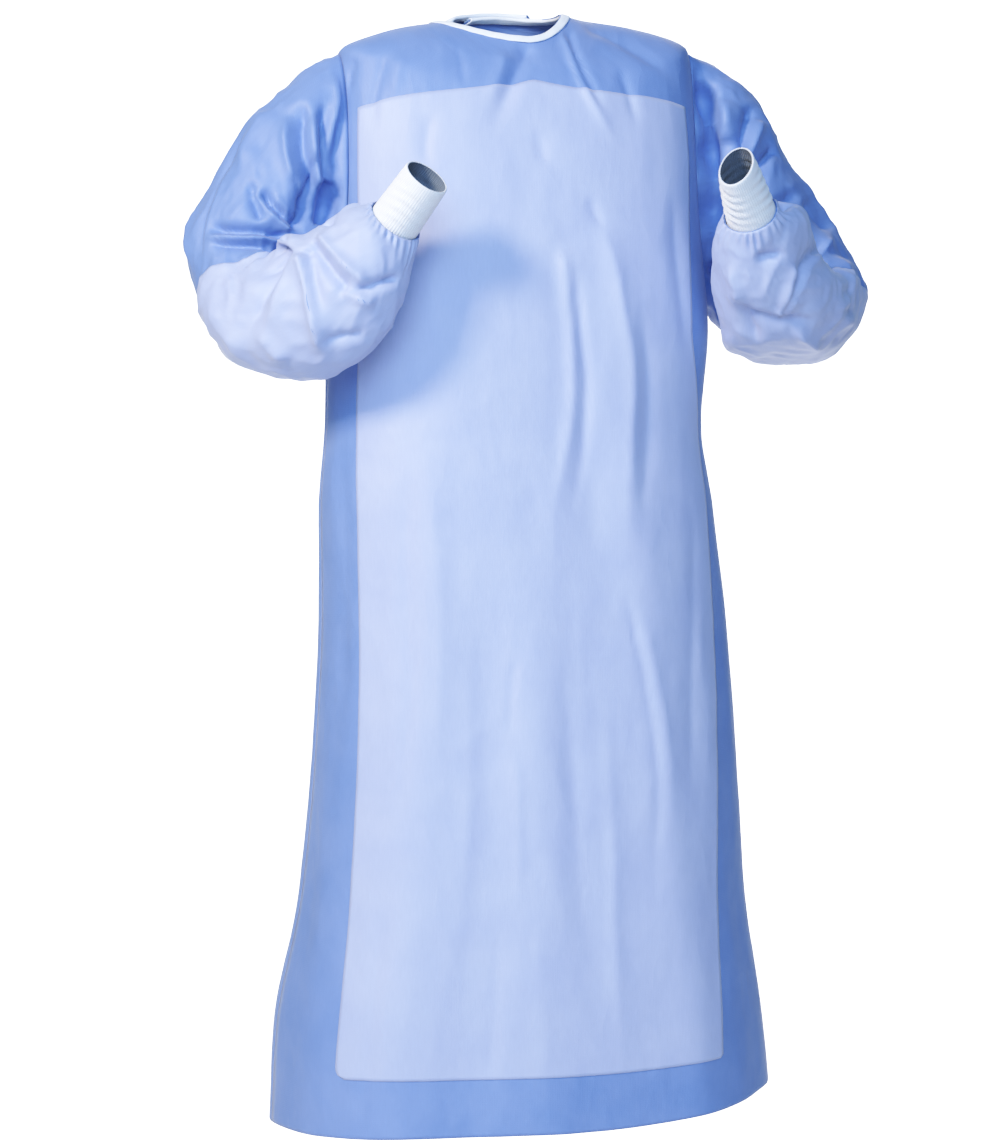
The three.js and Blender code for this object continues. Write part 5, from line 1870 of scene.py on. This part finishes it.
@dataclass
class Studio:
    """A plain pale floor and soft light, from the upper left of the picture."""

    all_channels = 3

    floor_height: float = -1.62
    floor_line: tuple[tuple[float, float], ...] = ((-7.0, 0.0), (1.5, 0.0))
    floor_half: float = 7.0
    floor_glow: float = 0.12
    bend_start: float = 1.5
    bend_radius: float = 2.5
    bend_steps: int = 16
    backdrop_top: float = 6.0
    backdrop_half: float = 1.7
    backdrop_glow: float = 2.4
    grey: tuple[float, float, float, float] = (0.9, 0.9, 0.9, 1.0)
    white: tuple[float, float, float, float] = (1.0, 1.0, 1.0, 1.0)
    sheet_roughness: float = 0.9
    shade: tuple[float, float, float, float] = (0.36, 0.58, 1.0, 1.0)
    shade_strength: float = 0.30
    seen_strength: float = 2.4
    white_level: float = 2.0
    shoulder: tuple[tuple[float, float], ...] = (
        (0.1, 0.085), (0.3, 0.275), (0.6, 0.5), (1.0, 0.72), (1.5, 0.9))

    def build(self) -> None:
        """Make the floor, backdrop and lights."""
        self.build_stage()
        KEY_LAMP.add()
        FILL_LAMP.add()
        bpy.context.scene.world = self.world()
        view = bpy.context.scene.view_settings
        view.view_transform = "Standard"
        view.look = "None"
        self.soften_highlights(view)

    def world(self) -> bpy.types.World:
        """Make a world that is white where it is seen and lights the shade with a pale blue."""
        world = bpy.data.worlds.new("studio_world")
        world.use_nodes = True
        tree = world.node_tree
        shade = tree.nodes["Background"]
        set_inputs(shade, {"Color": self.shade, "Strength": self.shade_strength})
        seen = tree.nodes.new("ShaderNodeBackground")
        set_inputs(seen, {"Color": self.white, "Strength": self.seen_strength})
        path = tree.nodes.new("ShaderNodeLightPath")
        mix_shaders(tree, path.outputs["Is Camera Ray"], shade, seen, "World Output")
        return world

    def soften_highlights(self, view: bpy.types.ColorManagedViewSettings) -> None:
        """Roll bright values off towards white, as a camera does."""
        view.use_curve_mapping = True
        mapping = view.curve_mapping
        mapping.white_level = (self.white_level, self.white_level, self.white_level)
        curve = mapping.curves[self.all_channels]
        for seen, shown in self.shoulder:
            curve.points.new(seen / self.white_level, shown)
        mapping.update()

    def build_stage(self) -> None:
        """Make the floor, and the white sheet that curves up from it behind the gown."""
        turn = np.linspace(0.0, QUARTER_TURN, self.bend_steps)
        start, radius = self.bend_start, self.bend_radius
        curve = np.stack([start + radius * np.sin(turn), radius - radius * np.cos(turn)], axis=-1)
        sheet_line = np.vstack([curve, [[start + radius, self.backdrop_top]]])
        self.sweep("studio_floor", np.array(self.floor_line), self.floor_half, self.floor_glow)
        self.sweep("studio_backdrop", sheet_line, self.backdrop_half, self.backdrop_glow)

    def sweep(self, name: str, line: np.ndarray, half_width: float, glow: float) -> None:
        """Make a wide pale sheet from its side line. It is clear from behind, so that it hides nothing.

        Args:
            name: Its name.
            line: Its ways behind the gown and up from the floor, in metres.
            half_width: Half its width in metres.
            glow: How much light it gives off itself.
        """
        right, ahead = VIEW.directions()
        sides = np.array([-half_width, half_width])
        middle = line[:, :1] * ahead + (line[:, 1:] + self.floor_height) * UP
        points = middle[:, None] + sides[None, :, None] * right
        numbers = np.arange(len(line) * 2).reshape(-1, 2)
        faces = np.stack([numbers[:-1, 0], numbers[:-1, 1], numbers[1:, 1], numbers[1:, 0]], axis=-1)
        data = bpy.data.meshes.new(name)
        data.from_pydata(points.reshape(-1, 3), [], faces)
        data.polygons.foreach_set("use_smooth", np.ones(len(faces), dtype=bool))
        sheet = bpy.data.objects.new(name, data)
        bpy.context.scene.collection.objects.link(sheet)
        material, tree, shader = new_material(f"{name}_white")
        set_inputs(shader, {
            "Base Color": self.grey,
            "Roughness": self.sheet_roughness,
            "Emission Color": self.white,
            "Emission Strength": glow,
        })
        place = tree.nodes.new("ShaderNodeNewGeometry")
        clear = tree.nodes.new("ShaderNodeBsdfTransparent")
        mix_shaders(tree, place.outputs["Backfacing"], shader, clear, "Material Output")
        data.materials.append(material)


def main() -> None:
    """Build the gown's pieces in order, with the studio round them."""
    logging.basicConfig(level=logging.INFO, format="%(message)s")
    VIEW.place_camera()
    Studio().build()
    finishes = Finishes()
    body = GownBody()
    body.build(finishes)
    sleeves = (
        Sleeve(
            "right", -1, RIGHT_SLEEVE_ROWS, RIGHT_CUFF, (6.7, 6.1, 6.4, 7.0), RIGHT_SLEEVE_CREASES,
            RIGHT_SHOVES, (0.67, 0.75, 0.217), (0.44, 0.39, 0.098),
        ),
        Sleeve(
            "left", 1, LEFT_SLEEVE_ROWS, LEFT_CUFF, (7.0, 7.4, 8.0, 7.6), LEFT_SLEEVE_CREASES, LEFT_SHOVES,
            (0.71, 0.78, 0.230), (0.49, 0.39, 0.089),
        ),
    )
    for sleeve in sleeves:
        sleeve.build(finishes)
    Cuff("right", RIGHT_CUFF, 0.6).build(finishes)
    Cuff("left", LEFT_CUFF, 1.5).build(finishes)
    NeckBinding().build(finishes, body)
    Closures().build(finishes, body)


if __name__ == "__main__":
    main()
